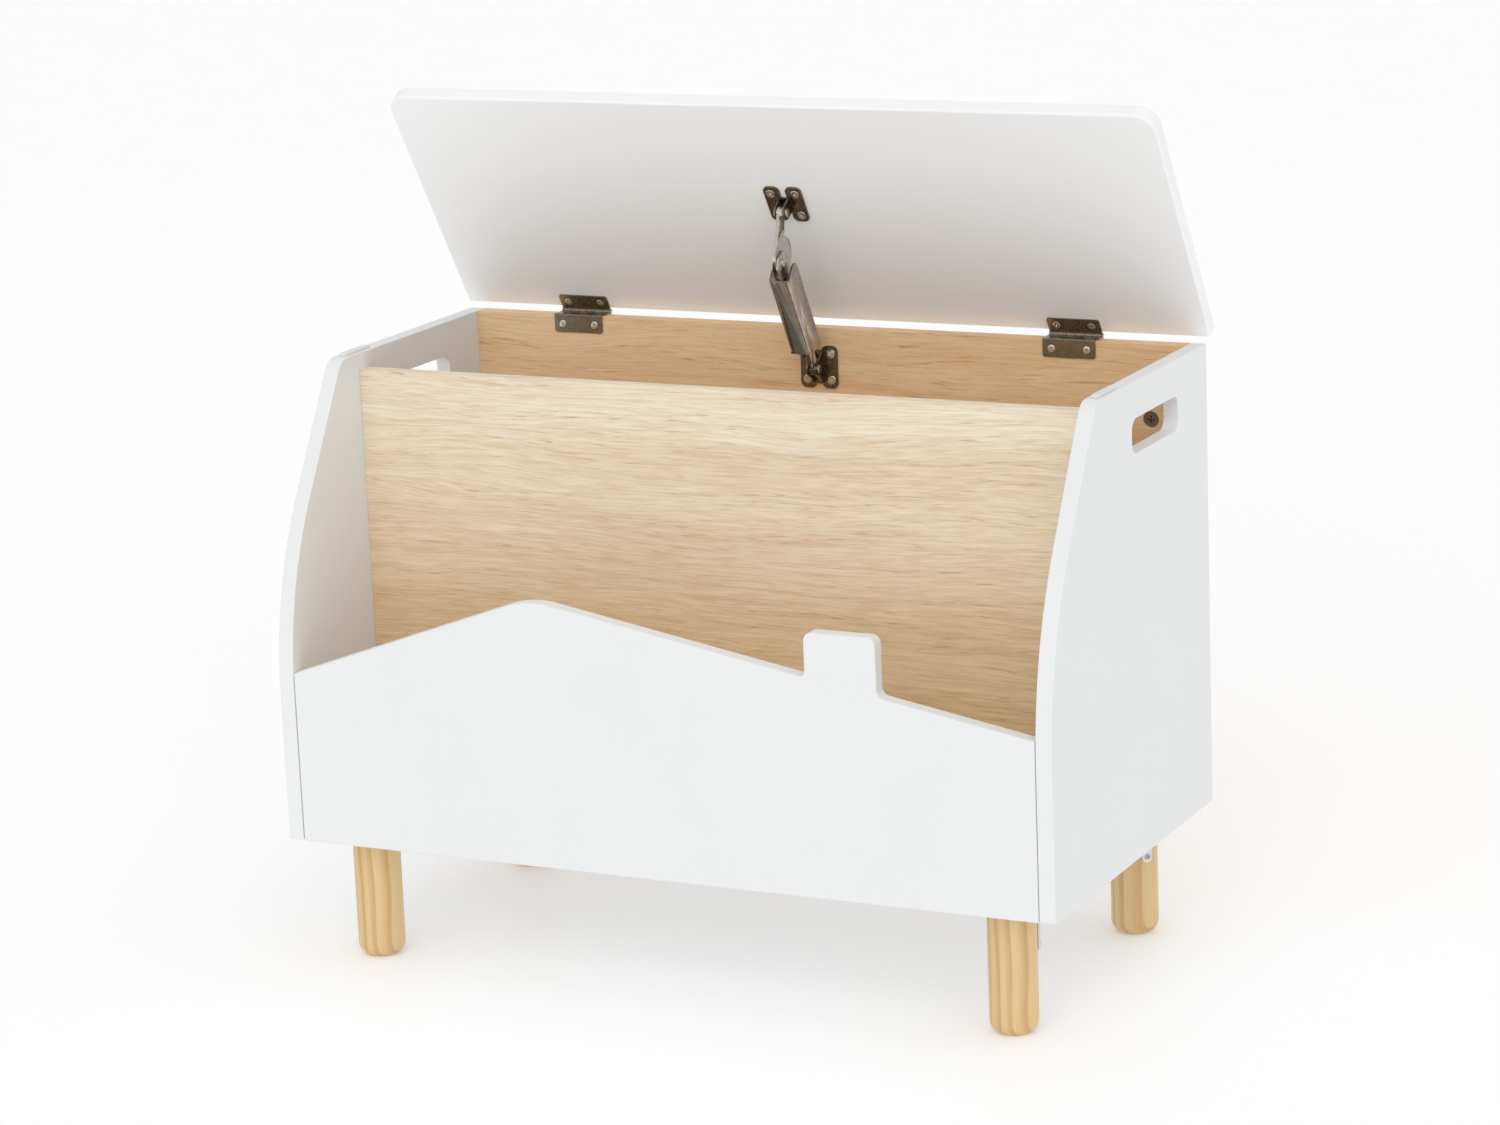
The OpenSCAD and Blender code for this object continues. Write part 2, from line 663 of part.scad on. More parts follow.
// Spring housing: a channel open at the back, a foot plate and a tongue down to the lower pivot
module channel_outline() {
    back = housing_front + housing_d;
    polygon([[housing_front, housing_low + 6], [back, housing_low], [back, ear_top - 3], [back - 3, ear_top],
        [back - 9, ear_top], [housing_front + 3, housing_top], [housing_front, housing_top]]);
}
module stay_housing() {
    color(nickel_c) in_housing() difference() {
        union() {
            translate([housing_shift, 0, 0]) {
                difference() {
                    slab(-housing_w / 2, housing_w / 2) channel_outline();
                    translate([wall_t - housing_w / 2, housing_front + wall_t, housing_low - over])
                        cube([housing_w - 2 * wall_t, housing_d + over, ear_top]);
                }
                // foot plate across the channel
                translate([-housing_w / 2, housing_front, housing_low + 6])
                    cube([housing_w, housing_d - 2, wall_t]);
            }
            // tongue
            slab(-eye_left, eye_right) polygon([[-4.5, 0], [4.5, 0], [6, housing_low + 7],
                [-6, housing_low + 7]]);
            bar(-eye_left, eye_right, eye_r);
        }
        bar(-eye_left - over, eye_right + over, pin_r + run_fit);
    }
}
// Coil spring: a round wire swept along a helix
function coil_ring(t, n) =
    let (a = 360 * spring_turns * t, z = spring_low + (spring_high - spring_low) * t,
         out = [cos(a), sin(a), 0])
    [for (k = [0 : n - 1])
        [0, 0, z] + spring_r * out
            + spring_wire_r * (cos(360 * k / n) * out + sin(360 * k / n) * [0, 0, 1])];
module stay_spring() {
    sides = 6;
    rings = spring_turns * 16;
    points = [for (i = [0 : rings]) each coil_ring(i / rings, sides)];
    walls = [for (i = [0 : rings - 1], k = [0 : sides - 1])
        let (a = i * sides + k, b = i * sides + (k + 1) % sides) [a, a + sides, b + sides, b]];
    cap_low = [for (k = [0 : sides - 1]) k];
    cap_high = [for (k = [sides - 1 : -1 : 0]) rings * sides + k];
    color(bright_c) in_housing() polyhedron(points, concat(walls, [cap_low, cap_high]));
}
// Fork: a guide rod and a spring seat, then two cheeks that hold the knee pin
module cheek_outline() {
    k = housing_link;
    polygon(rounded([[-9, spring_high + 4, 1], [9, spring_high + 4, 1], [13, k - 4, 2], [13, k + 3, 3],
        [6, k + 10, 3], [-6, k + 10, 3], [-13, k + 3, 3],
        [-13, housing_top + 5, 1], [-9, housing_top + 1, 1]]));
}
module stay_fork() {
    k = housing_link;
    color(bright_c) in_housing() {
        difference() {
            both_sides() slab(fork_in, fork_in + fork_t) cheek_outline();
            translate([0, 0, k]) bar(-10, 10, pin_r + run_fit);
        }
        // seat and rod
        translate([-7.5, -9, spring_high + 1.2]) cube([15, 18, 3]);
        translate([0, 0, spring_low + 2]) cylinder(r = 3.2, h = spring_high - spring_low);
    }
}
module stay_knee_pin() {
    color(bright_c) in_housing() translate([0, 0, housing_link])
        pivot_pin(fork_in + fork_t, fork_in + fork_t);
}
// Arm: an eye at the upper pivot, a neck, and a cam lobe that is off centre from the knee
module arm_outline() {
    lobe = turned(cam_off, arm_dir - 270) + [0, -arm_link];
    difference() {
        union() {
            circle(r = eye_r);
            polygon([[-5.4, 0], [5.4, 0], [5, -18], [lobe.x + 4, lobe.y + cam_r - 2],
                [lobe.x, lobe.y], [lobe.x - 13.5, lobe.y + 8.1], [-5.2, -11]]);
            translate(lobe) circle(r = cam_r);
        }
        translate([0, -arm_link]) circle(r = pin_r + knee_play);
    }
}
module stay_arm() {
    color(bright_c) in_arm() difference() {
        union() {
            slab(-arm_half, arm_half) arm_outline();
            bar(-eye_left, eye_right, eye_r - 0.5);
        }
        bar(-eye_left - over, eye_right + over, pin_r + run_fit);
    }
}

// Knock-down fittings
module cam_locks_back() { color(zinc_c) in_frame() at_back_cams() cam_lock(); }
module cam_locks_divider() { color(zinc_c) in_frame() at_divider_cams() cam_lock(); }
module cam_locks_bottom() { color(zinc_c) in_frame() at_bottom_cams() cam_lock(); }
module cam_locks_front() { color(zinc_c) in_frame() at_front_cams() cam_lock(); }
module cam_bolts() {
    tip = inner_x - cam_reach;
    color(zinc_c) in_frame() for (p = bolt_points) translate([0, p.x, p.y]) {
        bar(tip + 4, inner_x + cam_bolt_in, cam_bolt_r);
        bar(tip + 0.5, tip + 4.2, cam_bolt_r - 1);
        bar(tip - 2.5, tip + 0.7, cam_bolt_r + 0.4);
    }
}
module cam_bolts_right() { cam_bolts(); }
module cam_bolts_left() { mirror([1, 0, 0]) cam_bolts(); }
module dowels() {
    color(beech_c) in_frame() for (p = dowel_points)
        bar_at(p.x, p.y, inner_x + dowel_in - dowel_l, inner_x + dowel_in, dowel_r);
}
module dowels_right() { dowels(); }
module dowels_left() { mirror([1, 0, 0]) dowels(); }

left_side_panel();
right_side_panel();
back_panel();
divider_panel();
front_panel();
bottom_panel();
lid();
leg_front_left();
leg_front_right();
leg_rear_left();
leg_rear_right();
hanger_bolts();
threaded_inserts();
leg_brackets();
leg_bracket_screws();
bumper_pad_left();
bumper_pad_right();
hinge_left_body_leaf();
hinge_left_lid_leaf();
hinge_left_pin();
hinge_right_body_leaf();
hinge_right_lid_leaf();
hinge_right_pin();
hinge_body_screws();
hinge_lid_screws();
stay_lower_bracket();
stay_lower_pin();
stay_lower_screws();
stay_housing();
stay_spring();
stay_fork();
stay_knee_pin();
stay_arm();
stay_upper_pin();
stay_upper_bracket();
stay_upper_screws();
cam_locks_back();
cam_locks_divider();
cam_locks_bottom();
cam_locks_front();
cam_bolts_left();
cam_bolts_right();
dowels_left();
dowels_right();
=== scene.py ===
"""Looks of the toy box: painted boards, oak-look boards, pine legs, hinges and the sprung lid stay.
Everything is in metres in the part's own frame: +X right, +Y back, +Z up, the floor at Z = 0."""

import json
from contextlib import contextmanager
from math import acos, atan2, cos, pi, radians, sin, tan

import bmesh
import bpy
from mathutils import Matrix, Vector


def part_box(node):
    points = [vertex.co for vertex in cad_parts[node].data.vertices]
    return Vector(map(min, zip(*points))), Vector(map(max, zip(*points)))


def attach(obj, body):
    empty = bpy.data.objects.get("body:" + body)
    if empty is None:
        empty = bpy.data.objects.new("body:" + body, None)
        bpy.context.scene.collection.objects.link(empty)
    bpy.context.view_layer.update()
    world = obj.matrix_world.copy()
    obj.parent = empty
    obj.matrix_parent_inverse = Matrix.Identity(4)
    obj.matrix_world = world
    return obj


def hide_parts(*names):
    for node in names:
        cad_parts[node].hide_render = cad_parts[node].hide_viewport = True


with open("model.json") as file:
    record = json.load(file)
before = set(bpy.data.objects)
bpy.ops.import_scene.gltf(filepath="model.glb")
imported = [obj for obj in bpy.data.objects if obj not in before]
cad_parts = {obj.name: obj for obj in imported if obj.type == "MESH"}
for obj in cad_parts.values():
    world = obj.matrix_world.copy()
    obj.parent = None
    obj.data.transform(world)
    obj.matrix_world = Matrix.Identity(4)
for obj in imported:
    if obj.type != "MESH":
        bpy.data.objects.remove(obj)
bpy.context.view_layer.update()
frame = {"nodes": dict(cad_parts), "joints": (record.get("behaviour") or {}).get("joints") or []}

MM = 0.001
JOINTS = {j["name"]: Vector(j["pos_m"]) for j in frame["joints"]}

# The box as built
LID_OPEN = radians(58)
LEG_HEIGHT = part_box("left_side_panel")[0].z
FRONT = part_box("front_panel")[0].y
BACK_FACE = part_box("back_panel")[0].y
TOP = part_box("left_side_panel")[1].z
INNER_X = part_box("right_side_panel")[0].x
OUTER_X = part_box("right_side_panel")[1].x
BOARD = OUTER_X - INNER_X
HINGE = JOINTS["lid_hinge"]
LOW_PIVOT = JOINTS["stay_housing_pivot"]
TOP_PIVOT = JOINTS["stay_arm_pivot"]
KNEE = sum(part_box("stay_knee_pin"), Vector()) / 2
BOARD_EDGE, SAWN_EDGE = 1.6 * MM, 0.5 * MM

# The lid's underside above the hinge axis, the gap behind the lid, and its length from front to back
LID_RISE, LID_GAP, LID_LENGTH = 1.4 * MM, 3.4 * MM, 260 * MM

# The hinges: place, length, knuckles, leaf, pin, and each screw's place along and in from the edge
HINGE_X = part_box("hinge_right_pin")[0].x / 2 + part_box("hinge_right_pin")[1].x / 2
HINGE_LENGTH, KNUCKLE_COUNT = 52 * MM, 6
KNUCKLE, KNUCKLE_ROOM, KNUCKLE_GAP = 3 * MM, 3.5 * MM, 0.175 * MM
LEAF, HINGE_PIN, HINGE_HEAD = 1.2 * MM, 1.25 * MM, 3.75 * MM
SCREW_REACH, BODY_SCREW_IN, LID_SCREW_IN = 17.3 * MM, 8.6 * MM, 11.2 * MM

# The stay's brackets: half length of a pad, inner faces of the two ears, their thickness and round end,
# the pivot's height, the pads' middle, the screws' spread and heads, and the upper pivot's place on the lid
PAD_HALF, PAD_THICK = 20.25 * MM, 2 * MM
EAR_LEFT, EAR_RIGHT, EAR_THICK, EAR_END = -2.2 * MM, 4.5 * MM, 1.8 * MM, 7 * MM
PIVOT_RISE, PADS_AT = 13 * MM, 1.5 * MM
STAY_SPREAD, STAY_HEAD, UPPER_OUT = 12.5 * MM, 4.4 * MM, 147.5 * MM

# The stay's moving parts: pivot pin, bore and eye, the tongue's two faces, and the spring
PIVOT_PIN, PIVOT_BORE, PIVOT_EYE = 2.5 * MM, 2.6 * MM, 6 * MM
TONGUE_LEFT, TONGUE_RIGHT = -1.9 * MM, 4.2 * MM
SPRING_LOW, SPRING_HIGH, SPRING_TURNS = 30 * MM, 96 * MM, 9

# The cam locks: radius of lock and bore, bore's depth, and their distance in from the side boards
LOCK, LOCK_BORE, LOCK_DEPTH, LOCK_IN = 7.4 * MM, 7.6 * MM, 12.8 * MM, 34 * MM


# ---------------------------------------------------------------- bench tools


def clear_bench():
    """Nothing is selected when a new piece is begun."""
    if bpy.context.object and bpy.context.object.mode != "OBJECT":
        bpy.ops.object.mode_set(mode="OBJECT")
    bpy.ops.object.select_all(action="DESELECT")


def take(*pieces):
    """Selects only these pieces; the first one is the one worked on."""
    clear_bench()
    for piece in pieces:
        piece.select_set(True)
    bpy.context.view_layer.objects.active = pieces[0]
    return pieces[0]


def settle(piece):
    """Puts a piece's place and size into its mesh."""
    take(piece)
    bpy.ops.object.transform_apply(location=True, rotation=True, scale=True)
    return piece


def started(name):
    piece = bpy.context.active_object
    piece.name = name
    piece.data.name = name
    return settle(piece)


def block(name, low, high):
    """A bar between two opposite corners."""
    clear_bench()
    low, high = Vector(low), Vector(high)
    bpy.ops.mesh.primitive_cube_add(size=1, location=(low + high) / 2, scale=high - low)
    return started(name)


def rod(name, radius, start, end, sides=48, taper=None):
    """A round bar, or a taper, between two points."""
    clear_bench()
    start, end = Vector(start), Vector(end)
    way = end - start
    bpy.ops.mesh.primitive_cone_add(
        vertices=sides,
        radius1=radius,
        radius2=radius if taper is None else taper,
        depth=way.length,
        location=(start + end) / 2,
        rotation=way.to_track_quat("Z", "Y").to_euler(),
    )
    return started(name)


@contextmanager
def shaping(piece):
    """Edit mode on one piece."""
    take(piece)
    bpy.ops.object.mode_set(mode="EDIT")
    yield bmesh.from_edit_mesh(piece.data)
    bpy.ops.object.mode_set(mode="OBJECT")


def pick(mesh, kind, test):
    """Selects the faces or edges whose middle and direction pass the test."""
    bpy.context.tool_settings.mesh_select_mode = (False, kind == "edges", kind == "faces")
    mesh.normal_update()
    for part in (*mesh.verts, *mesh.edges, *mesh.faces):
        part.select_set(False)
    for part in getattr(mesh, kind):
        if kind == "edges":
            a, b = (v.co for v in part.verts)
            middle, way = (a + b) / 2, (b - a).normalized()
        else:
            middle, way = part.calc_center_median(), part.normal
        if test(middle, way):
            part.select_set(True)
    mesh.select_flush_mode()
    bmesh.update_edit_mesh(bpy.context.edit_object.data)


def slice_at(point, normal, keep_both=False):
    """Saws along a plane, and drops what is on the normal's side unless both are kept."""
    bpy.ops.mesh.select_all(action="SELECT")
    bpy.ops.mesh.bisect(
        plane_co=point,
        plane_no=normal,
        use_fill=not keep_both,
        clear_outer=not keep_both,
        threshold=1e-7,
    )


def plane_corner(corner, start, end, radius, steps, saw_end=False):
    """Planes a corner of a board's (y, z) outline round, from one edge's normal to the next, in degrees.
    The edge it ends on is sawn too where the board hasn't got it yet."""
    a, b = radians(start), radians(end)
    na, nb = Vector((cos(a), sin(a))), Vector((cos(b), sin(b)))
    centre = Vector(corner) - (na + nb) * radius / (1 + na.dot(nb))
    for i in range(1, steps + (1 if saw_end else 0)):
        t = a + (b - a) * i / steps
        n = Vector((0, cos(t), sin(t)))
        slice_at(Vector((0, centre.x, centre.y)) + n * radius, n)


def round_edges(mesh, test, radius, segments=6):
    pick(mesh, "edges", test)
    bpy.ops.mesh.bevel(offset=radius, offset_type="OFFSET", segments=segments, affect="EDGES", profile=0.5)


def with_modifier(piece, kind, **settings):
    take(piece)
    bpy.ops.object.modifier_add(type=kind)
    modifier = piece.modifiers[-1]
    for key, value in settings.items():
        setattr(modifier, key, value)
    bpy.ops.object.modifier_apply(modifier=modifier.name)
    return piece


def carve(piece, *tools, how="DIFFERENCE"):
    """Cuts the tools out of a piece, or welds them on with how="UNION"."""
    for tool in tools:
        with_modifier(piece, "BOOLEAN", operation=how, solver="EXACT", object=tool)
        bpy.data.objects.remove(tool)
    return piece


def ease(piece, radius, segments=3, over=30):
    """Breaks every sharp edge and smooths the rest."""
    with_modifier(
        piece,
        "BEVEL",
        width=radius,
        segments=segments,
        limit_method="ANGLE",
        angle_limit=radians(over),
        use_clamp_overlap=True,
        miter_outer="MITER_ARC",
    )
    take(piece)
    bpy.ops.object.shade_smooth()
    with_modifier(piece, "WEIGHTED_NORMAL", weight=50, keep_sharp=False)
    return piece


def place(piece, matrix):
    piece.matrix_world = matrix @ piece.matrix_world
    return settle(piece)


def copy_of(piece, name, matrix=None):
    """Another one like it, with a mesh of its own."""
    take(piece)
    bpy.ops.object.duplicate(linked=False)
    copy = bpy.context.active_object
    copy.name = copy.data.name = name
    return place(copy, matrix) if matrix else copy


def joined(name, pieces):
    take(*pieces)
    if len(pieces) > 1:
        bpy.ops.object.join()
    piece = bpy.context.active_object
    piece.name = piece.data.name = name
    return piece


def faces_with_painted_reflection(piece, finish, test):
    """Gives the faces that pass the test a second material; here it paints a reflection by the way each
    face turns.
    """
    piece.data.materials.append(finish)
    for face in piece.data.polygons:
        if test(face.normal):
            face.material_index = 1


def fit(piece, body, slot, material, *nodes):
    """Gives a finished piece its material and rides it on its body in place of the CAD nodes."""
    piece.data.materials.clear()
    piece.data.materials.append(material)
    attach(piece, body)
    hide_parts(*nodes)
    return piece


# ------------------------------------------------------------------ materials


def add(tree, kind, values=None, **settings):
    """A node with its settings, its inputs set to values or joined to other nodes' outputs."""
    node = tree.nodes.new(kind)
    for key, value in settings.items():
        setattr(node, key, value)
    for socket, value in (values or {}).items():
        if isinstance(value, bpy.types.NodeSocket):
            tree.links.new(value, node.inputs[socket])
        else:
            node.inputs[socket].default_value = value
    return node


def maths(tree, operation, a, b=0.0, clamp=False):
    return add(tree, "ShaderNodeMath", {0: a, 1: b}, operation=operation, use_clamp=clamp).outputs[0]


def blend_colours(tree, factor, a, b, mode="MIX"):
    node = add(tree, "ShaderNodeMix", data_type="RGBA", blend_type=mode)
    for socket, value in (("Factor_Float", factor), ("A_Color", a), ("B_Color", b)):
        target = next(s for s in node.inputs if s.identifier == socket)
        if isinstance(value, bpy.types.NodeSocket):
            tree.links.new(value, target)
        else:
            target.default_value = value
    return next(s for s in node.outputs if s.identifier == "Result_Color")


def stretched(tree, vector, scale):
    return add(tree, "ShaderNodeMapping", {"Vector": vector, "Scale": scale}).outputs[0]


def noise(tree, vector, scale, detail=3.0, roughness=0.5, distortion=0.0):
    return add(
        tree,
        "ShaderNodeTexNoise",
        {
            "Vector": vector,
            "Scale": scale,
            "Detail": detail,
            "Roughness": roughness,
            "Distortion": distortion,
        },
    ).outputs["Fac"]


def between(tree, value, low, high, to_low=0.0, to_high=1.0, smooth=True):
    return add(
        tree,
        "ShaderNodeMapRange",
        {"Value": value, "From Min": low, "From Max": high, "To Min": to_low, "To Max": to_high},
        interpolation_type="SMOOTHSTEP" if smooth else "LINEAR",
    ).outputs["Result"]


def new_group(name, inputs, outputs):
    """A node group with named inputs and outputs."""
    group = bpy.data.node_groups.new(name, "ShaderNodeTree")
    for label, kind, value in inputs:
        socket = group.interface.new_socket(name=label, in_out="INPUT", socket_type=kind)
        if value is not None:
            socket.default_value = value
    for label, kind in outputs:
        group.interface.new_socket(name=label, in_out="OUTPUT", socket_type=kind)
    return group, group.nodes.new("NodeGroupInput"), group.nodes.new("NodeGroupOutput")


def send(group, end, **values):
    for label, value in values.items():
        group.links.new(value, end.inputs[label.replace("_", " ")])


COLOUR, NUMBER, VECTOR = "NodeSocketColor", "NodeSocketFloat", "NodeSocketVector"
SURFACE = [("Colour", COLOUR), ("Roughness", NUMBER), ("Height", NUMBER)]


def oak_figure():
    """Fine oak grain along X: pale ground, drifting tone, long fibres and short dark pores, and a painted
    shade that deepens and warms the foil low on the board.
    """
    g, start, end = new_group(
        "Oak figure",
        [
            ("Place", VECTOR, None),
            ("Pale", COLOUR, (0.8, 0.6, 0.4, 1)),
            ("Deep", COLOUR, (0.6, 0.4, 0.2, 1)),
            ("Pore", COLOUR, (0.3, 0.2, 0.1, 1)),
            ("Contrast", NUMBER, 1.0),
            ("Warm tint", COLOUR, (1, 1, 1, 1)),
            ("Warm below", NUMBER, 0.0),
            ("Pale above", NUMBER, 1.0),
        ],
        SURFACE,
    )
    at = start.outputs["Place"]
    # the grain wanders slowly up and down along the board
    sway = noise(g, stretched(g, at, (2.2, 3.0, 9.0)), 1.0, 2.0)
    sway = maths(g, "MULTIPLY", maths(g, "SUBTRACT", sway, 0.5), 0.05)
    shift = add(g, "ShaderNodeCombineXYZ", {"Z": sway}).outputs[0]
    grain = add(g, "ShaderNodeVectorMath", {0: at, 1: shift}, operation="ADD").outputs[0]
    tone = noise(g, stretched(g, grain, (1.6, 8.0, 26.0)), 1.0, 3.0, 0.55)
    bands = noise(g, stretched(g, grain, (4.0, 60.0, 150.0)), 1.0, 4.0, 0.6)
    fibres = noise(g, stretched(g, grain, (24.0, 240.0, 430.0)), 1.0, 3.0, 0.65)
    dashes = noise(g, stretched(g, grain, (38.0, 300.0, 720.0)), 1.0, 2.0, 0.5)
    dashes = between(g, dashes, 0.56, 0.68)
    where = between(g, bands, 0.42, 0.62)
    dashes = maths(g, "MULTIPLY", dashes, maths(g, "ADD", maths(g, "MULTIPLY", where, 0.75), 0.25))
    mix = maths(g, "ADD", maths(g, "MULTIPLY", between(g, tone, 0.3, 0.7), 0.45),
                maths(g, "MULTIPLY", between(g, bands, 0.3, 0.7), 0.3))
    mix = maths(g, "ADD", mix, maths(g, "MULTIPLY", between(g, fibres, 0.38, 0.62), 0.45))
    mix = maths(g, "MULTIPLY", mix, start.outputs["Contrast"], clamp=True)
    ground = blend_colours(g, mix, start.outputs["Pale"], start.outputs["Deep"])
    amount = maths(g, "MULTIPLY", maths(g, "MULTIPLY", dashes, 0.55), start.outputs["Contrast"])
    figure = blend_colours(g, amount, ground, start.outputs["Pore"])
    # painted shade: the foil is tinted deeper and warmer low on the board, standing in for the shade there
    # and the light bounced onto it off the oak, and is left pale at its top
    height = add(g, "ShaderNodeSeparateXYZ", {0: at}).outputs["Z"]
    painted_shade = between(g, height, start.outputs["Pale above"], start.outputs["Warm below"])
    shade_tinted_figure = blend_colours(g, 1.0, figure, start.outputs["Warm tint"], "MULTIPLY")
    send(
        g,
        end,
        Colour=blend_colours(g, painted_shade, figure, shade_tinted_figure),
        Roughness=between(g, fibres, 0.2, 0.8, 0.44, 0.56),
        Height=maths(g, "SUBTRACT", maths(g, "MULTIPLY", fibres, 0.3), dashes),
    )
    return g


def pine_figure():
    """Pine turned from a plank: growth rings about an axis beside the leg, which stripe its sides."""
    g, start, end = new_group(
        "Pine figure",
        [
            ("Place", VECTOR, None),
            ("Early wood", COLOUR, (0.8, 0.6, 0.3, 1)),
            ("Late wood", COLOUR, (0.6, 0.35, 0.1, 1)),
            ("Ring width", NUMBER, 0.009),
        ],
        SURFACE,
    )
    at = start.outputs["Place"]
    wander = noise(g, stretched(g, at, (9.0, 9.0, 5.0)), 1.0, 2.0)
    wander = maths(g, "MULTIPLY", maths(g, "SUBTRACT", wander, 0.5), 0.012)
    apart = add(g, "ShaderNodeSeparateXYZ", {0: at})
    x, y = maths(g, "ADD", apart.outputs["X"], wander), apart.outputs["Y"]
    far = maths(g, "SQRT", maths(g, "ADD", maths(g, "MULTIPLY", x, x), maths(g, "MULTIPLY", y, y)))
    rings = maths(g, "FRACT", maths(g, "DIVIDE", far, start.outputs["Ring width"]))
    # a ring darkens slowly and ends sharply
    late = maths(g, "MULTIPLY", between(g, rings, 0.35, 0.9), between(g, rings, 1.0, 0.93))
    lengthwise = noise(g, stretched(g, at, (500.0, 500.0, 9.0)), 1.0, 3.0, 0.6)
    faint = noise(g, stretched(g, at, (60.0, 60.0, 6.0)), 1.0, 2.0)
    amount = maths(g, "ADD", maths(g, "MULTIPLY", late, 0.62),
                   maths(g, "MULTIPLY", between(g, lengthwise, 0.35, 0.75), 0.2))
    amount = maths(g, "ADD", amount, maths(g, "MULTIPLY", between(g, faint, 0.35, 0.7), 0.18), clamp=True)
    send(
        g,
        end,
        Colour=blend_colours(g, amount, start.outputs["Early wood"], start.outputs["Late wood"]),
        Roughness=between(g, lengthwise, 0.2, 0.8, 0.3, 0.42),
        Height=maths(g, "ADD", maths(g, "MULTIPLY", lengthwise, 0.4), maths(g, "MULTIPLY", late, 0.6)),
    )
    return g


def paint_film():
    """Sprayed satin paint: a faint orange peel, and a tone that hardly drifts."""
    g, start, end = new_group(
        "Paint film",
        [
            ("Place", VECTOR, None),
            ("Paint", COLOUR, (0.8, 0.8, 0.8, 1)),
            ("Cloudy", COLOUR, (0.7, 0.7, 0.7, 1)),
            ("Gloss", NUMBER, 0.4),
        ],
        SURFACE,
    )
    at = start.outputs["Place"]
    clouds = noise(g, at, 7.0, 3.0, 0.6)
    flecks = noise(g, at, 420.0, 2.0, 0.5)
    amount = maths(g, "ADD", maths(g, "MULTIPLY", between(g, clouds, 0.35, 0.7), 0.7),
                   maths(g, "MULTIPLY", between(g, flecks, 0.4, 0.8), 0.3), clamp=True)
    send(
        g,
        end,
        Colour=blend_colours(g, amount, start.outputs["Paint"], start.outputs["Cloudy"]),
        Roughness=maths(g, "ADD", start.outputs["Gloss"], between(g, clouds, 0.3, 0.7, -0.04, 0.06)),
        Height=maths(g, "ADD", noise(g, at, 160.0, 2.0), maths(g, "MULTIPLY", flecks, 0.3)),
    )
    return g


def plated_metal():
    """Plated pressed steel: fine rolling lines, smudges and a slightly worn tone."""
    g, start, end = new_group(
        "Plated metal",
        [
            ("Place", VECTOR, None),
            ("Plating", COLOUR, (0.6, 0.6, 0.6, 1)),
            ("Worn", COLOUR, (0.4, 0.4, 0.4, 1)),
            ("Polish", NUMBER, 0.25),
        ],
        SURFACE,
    )
    at = start.outputs["Place"]
    lines = noise(g, stretched(g, at, (2600.0, 300.0, 300.0)), 1.0, 2.0, 0.6)
    smudges = noise(g, at, 130.0, 4.0, 0.65)
    spots = between(g, noise(g, at, 900.0, 2.0), 0.62, 0.75)
    amount = maths(g, "ADD", maths(g, "MULTIPLY", between(g, smudges, 0.35, 0.7), 0.6),
                   maths(g, "MULTIPLY", spots, 0.35), clamp=True)
    rough = maths(g, "ADD", start.outputs["Polish"], between(g, smudges, 0.3, 0.75, -0.05, 0.12))
    send(
        g,
        end,
        Colour=blend_colours(g, amount, start.outputs["Plating"], start.outputs["Worn"]),
        Roughness=maths(g, "ADD", rough, between(g, lines, 0.3, 0.7, -0.03, 0.05)),
        Height=maths(g, "ADD", lines, maths(g, "MULTIPLY", spots, 0.5)),
    )
    return g


def material(name, group, values, bump, bump_depth, centre=(0, 0, 0), **shader):
    """A material around one pattern group; shader values that are the same all over stay on the shader."""
    m = bpy.data.materials.new(name)
    m.use_nodes = True
    tree = m.node_tree
    tree.nodes.clear()
    at = add(tree, "ShaderNodeTexCoord").outputs["Object"]
    at = add(tree, "ShaderNodeMapping", {"Vector": at, "Location": centre}).outputs[0]
    pattern = tree.nodes.new("ShaderNodeGroup")
    pattern.node_tree = group
    tree.links.new(at, pattern.inputs["Place"])
    for label, value in values.items():
        pattern.inputs[label].default_value = value
    relief = add(
        tree,
        "ShaderNodeBump",
        {"Strength": bump, "Distance": bump_depth, "Height": pattern.outputs["Height"]},
    )
    surface = add(
        tree,
        "ShaderNodeBsdfPrincipled",
        {
            "Base Color": pattern.outputs["Colour"],
            "Roughness": pattern.outputs["Roughness"],
            "Normal": relief.outputs[0],
            **{label.replace("_", " "): value for label, value in shader.items()},
        },
    )
    add(tree, "ShaderNodeOutputMaterial", {"Surface": surface.outputs[0]})
    return m


OAK, PINE, PAINT, METAL = oak_figure(), pine_figure(), paint_film(), plated_metal()


def oak(name, pale, deep, shade_tint, painted_shade_below, painted_shade_gone_above):
    """Oak-look foil; shade_tint is painted shade that deepens and warms it below one height and is gone
    above the other.
    """
    return material(
        name,
        OAK,
        {
            "Pale": (*pale, 1),
            "Deep": (*deep, 1),
            "Pore": (0.50, 0.32, 0.175, 1),
            "Contrast": 1.0,
            "Warm tint": (*shade_tint, 1),
            "Warm below": painted_shade_below,
            "Pale above": painted_shade_gone_above,
        },
        0.25,
        0.0003,
        IOR=1.45,
    )


def pine(name, centre):
    """Clear-coated pine; centre moves the growth rings' axis."""
    return material(
        name,
        PINE,
        {
            "Early wood": (0.80, 0.575, 0.285, 1),
            "Late wood": (0.60, 0.345, 0.125, 1),
            "Ring width": 0.0105,
        },
        0.15,
        0.0002,
        centre,
        IOR=1.5,
        Coat_Weight=0.25,
        Coat_Roughness=0.2,
    )


def paint(name, white):
    """White paint; white is how much light it throws back."""
    return material(
        name,
        PAINT,
        {
            "Paint": (white, white + 0.01, white + 0.015, 1),
            "Cloudy": (white - 0.02, white - 0.01, white - 0.005, 1),
            "Gloss": 0.38,
        },
        0.05,
        0.0002,
        IOR=1.48,
    )


def metal(name, plating, worn, polish):
    return material(
        name,
        METAL,
        {"Plating": (*plating, 1), "Worn": (*worn, 1), "Polish": polish},
        0.08,
        0.00005,
        Metallic=1.0,
    )


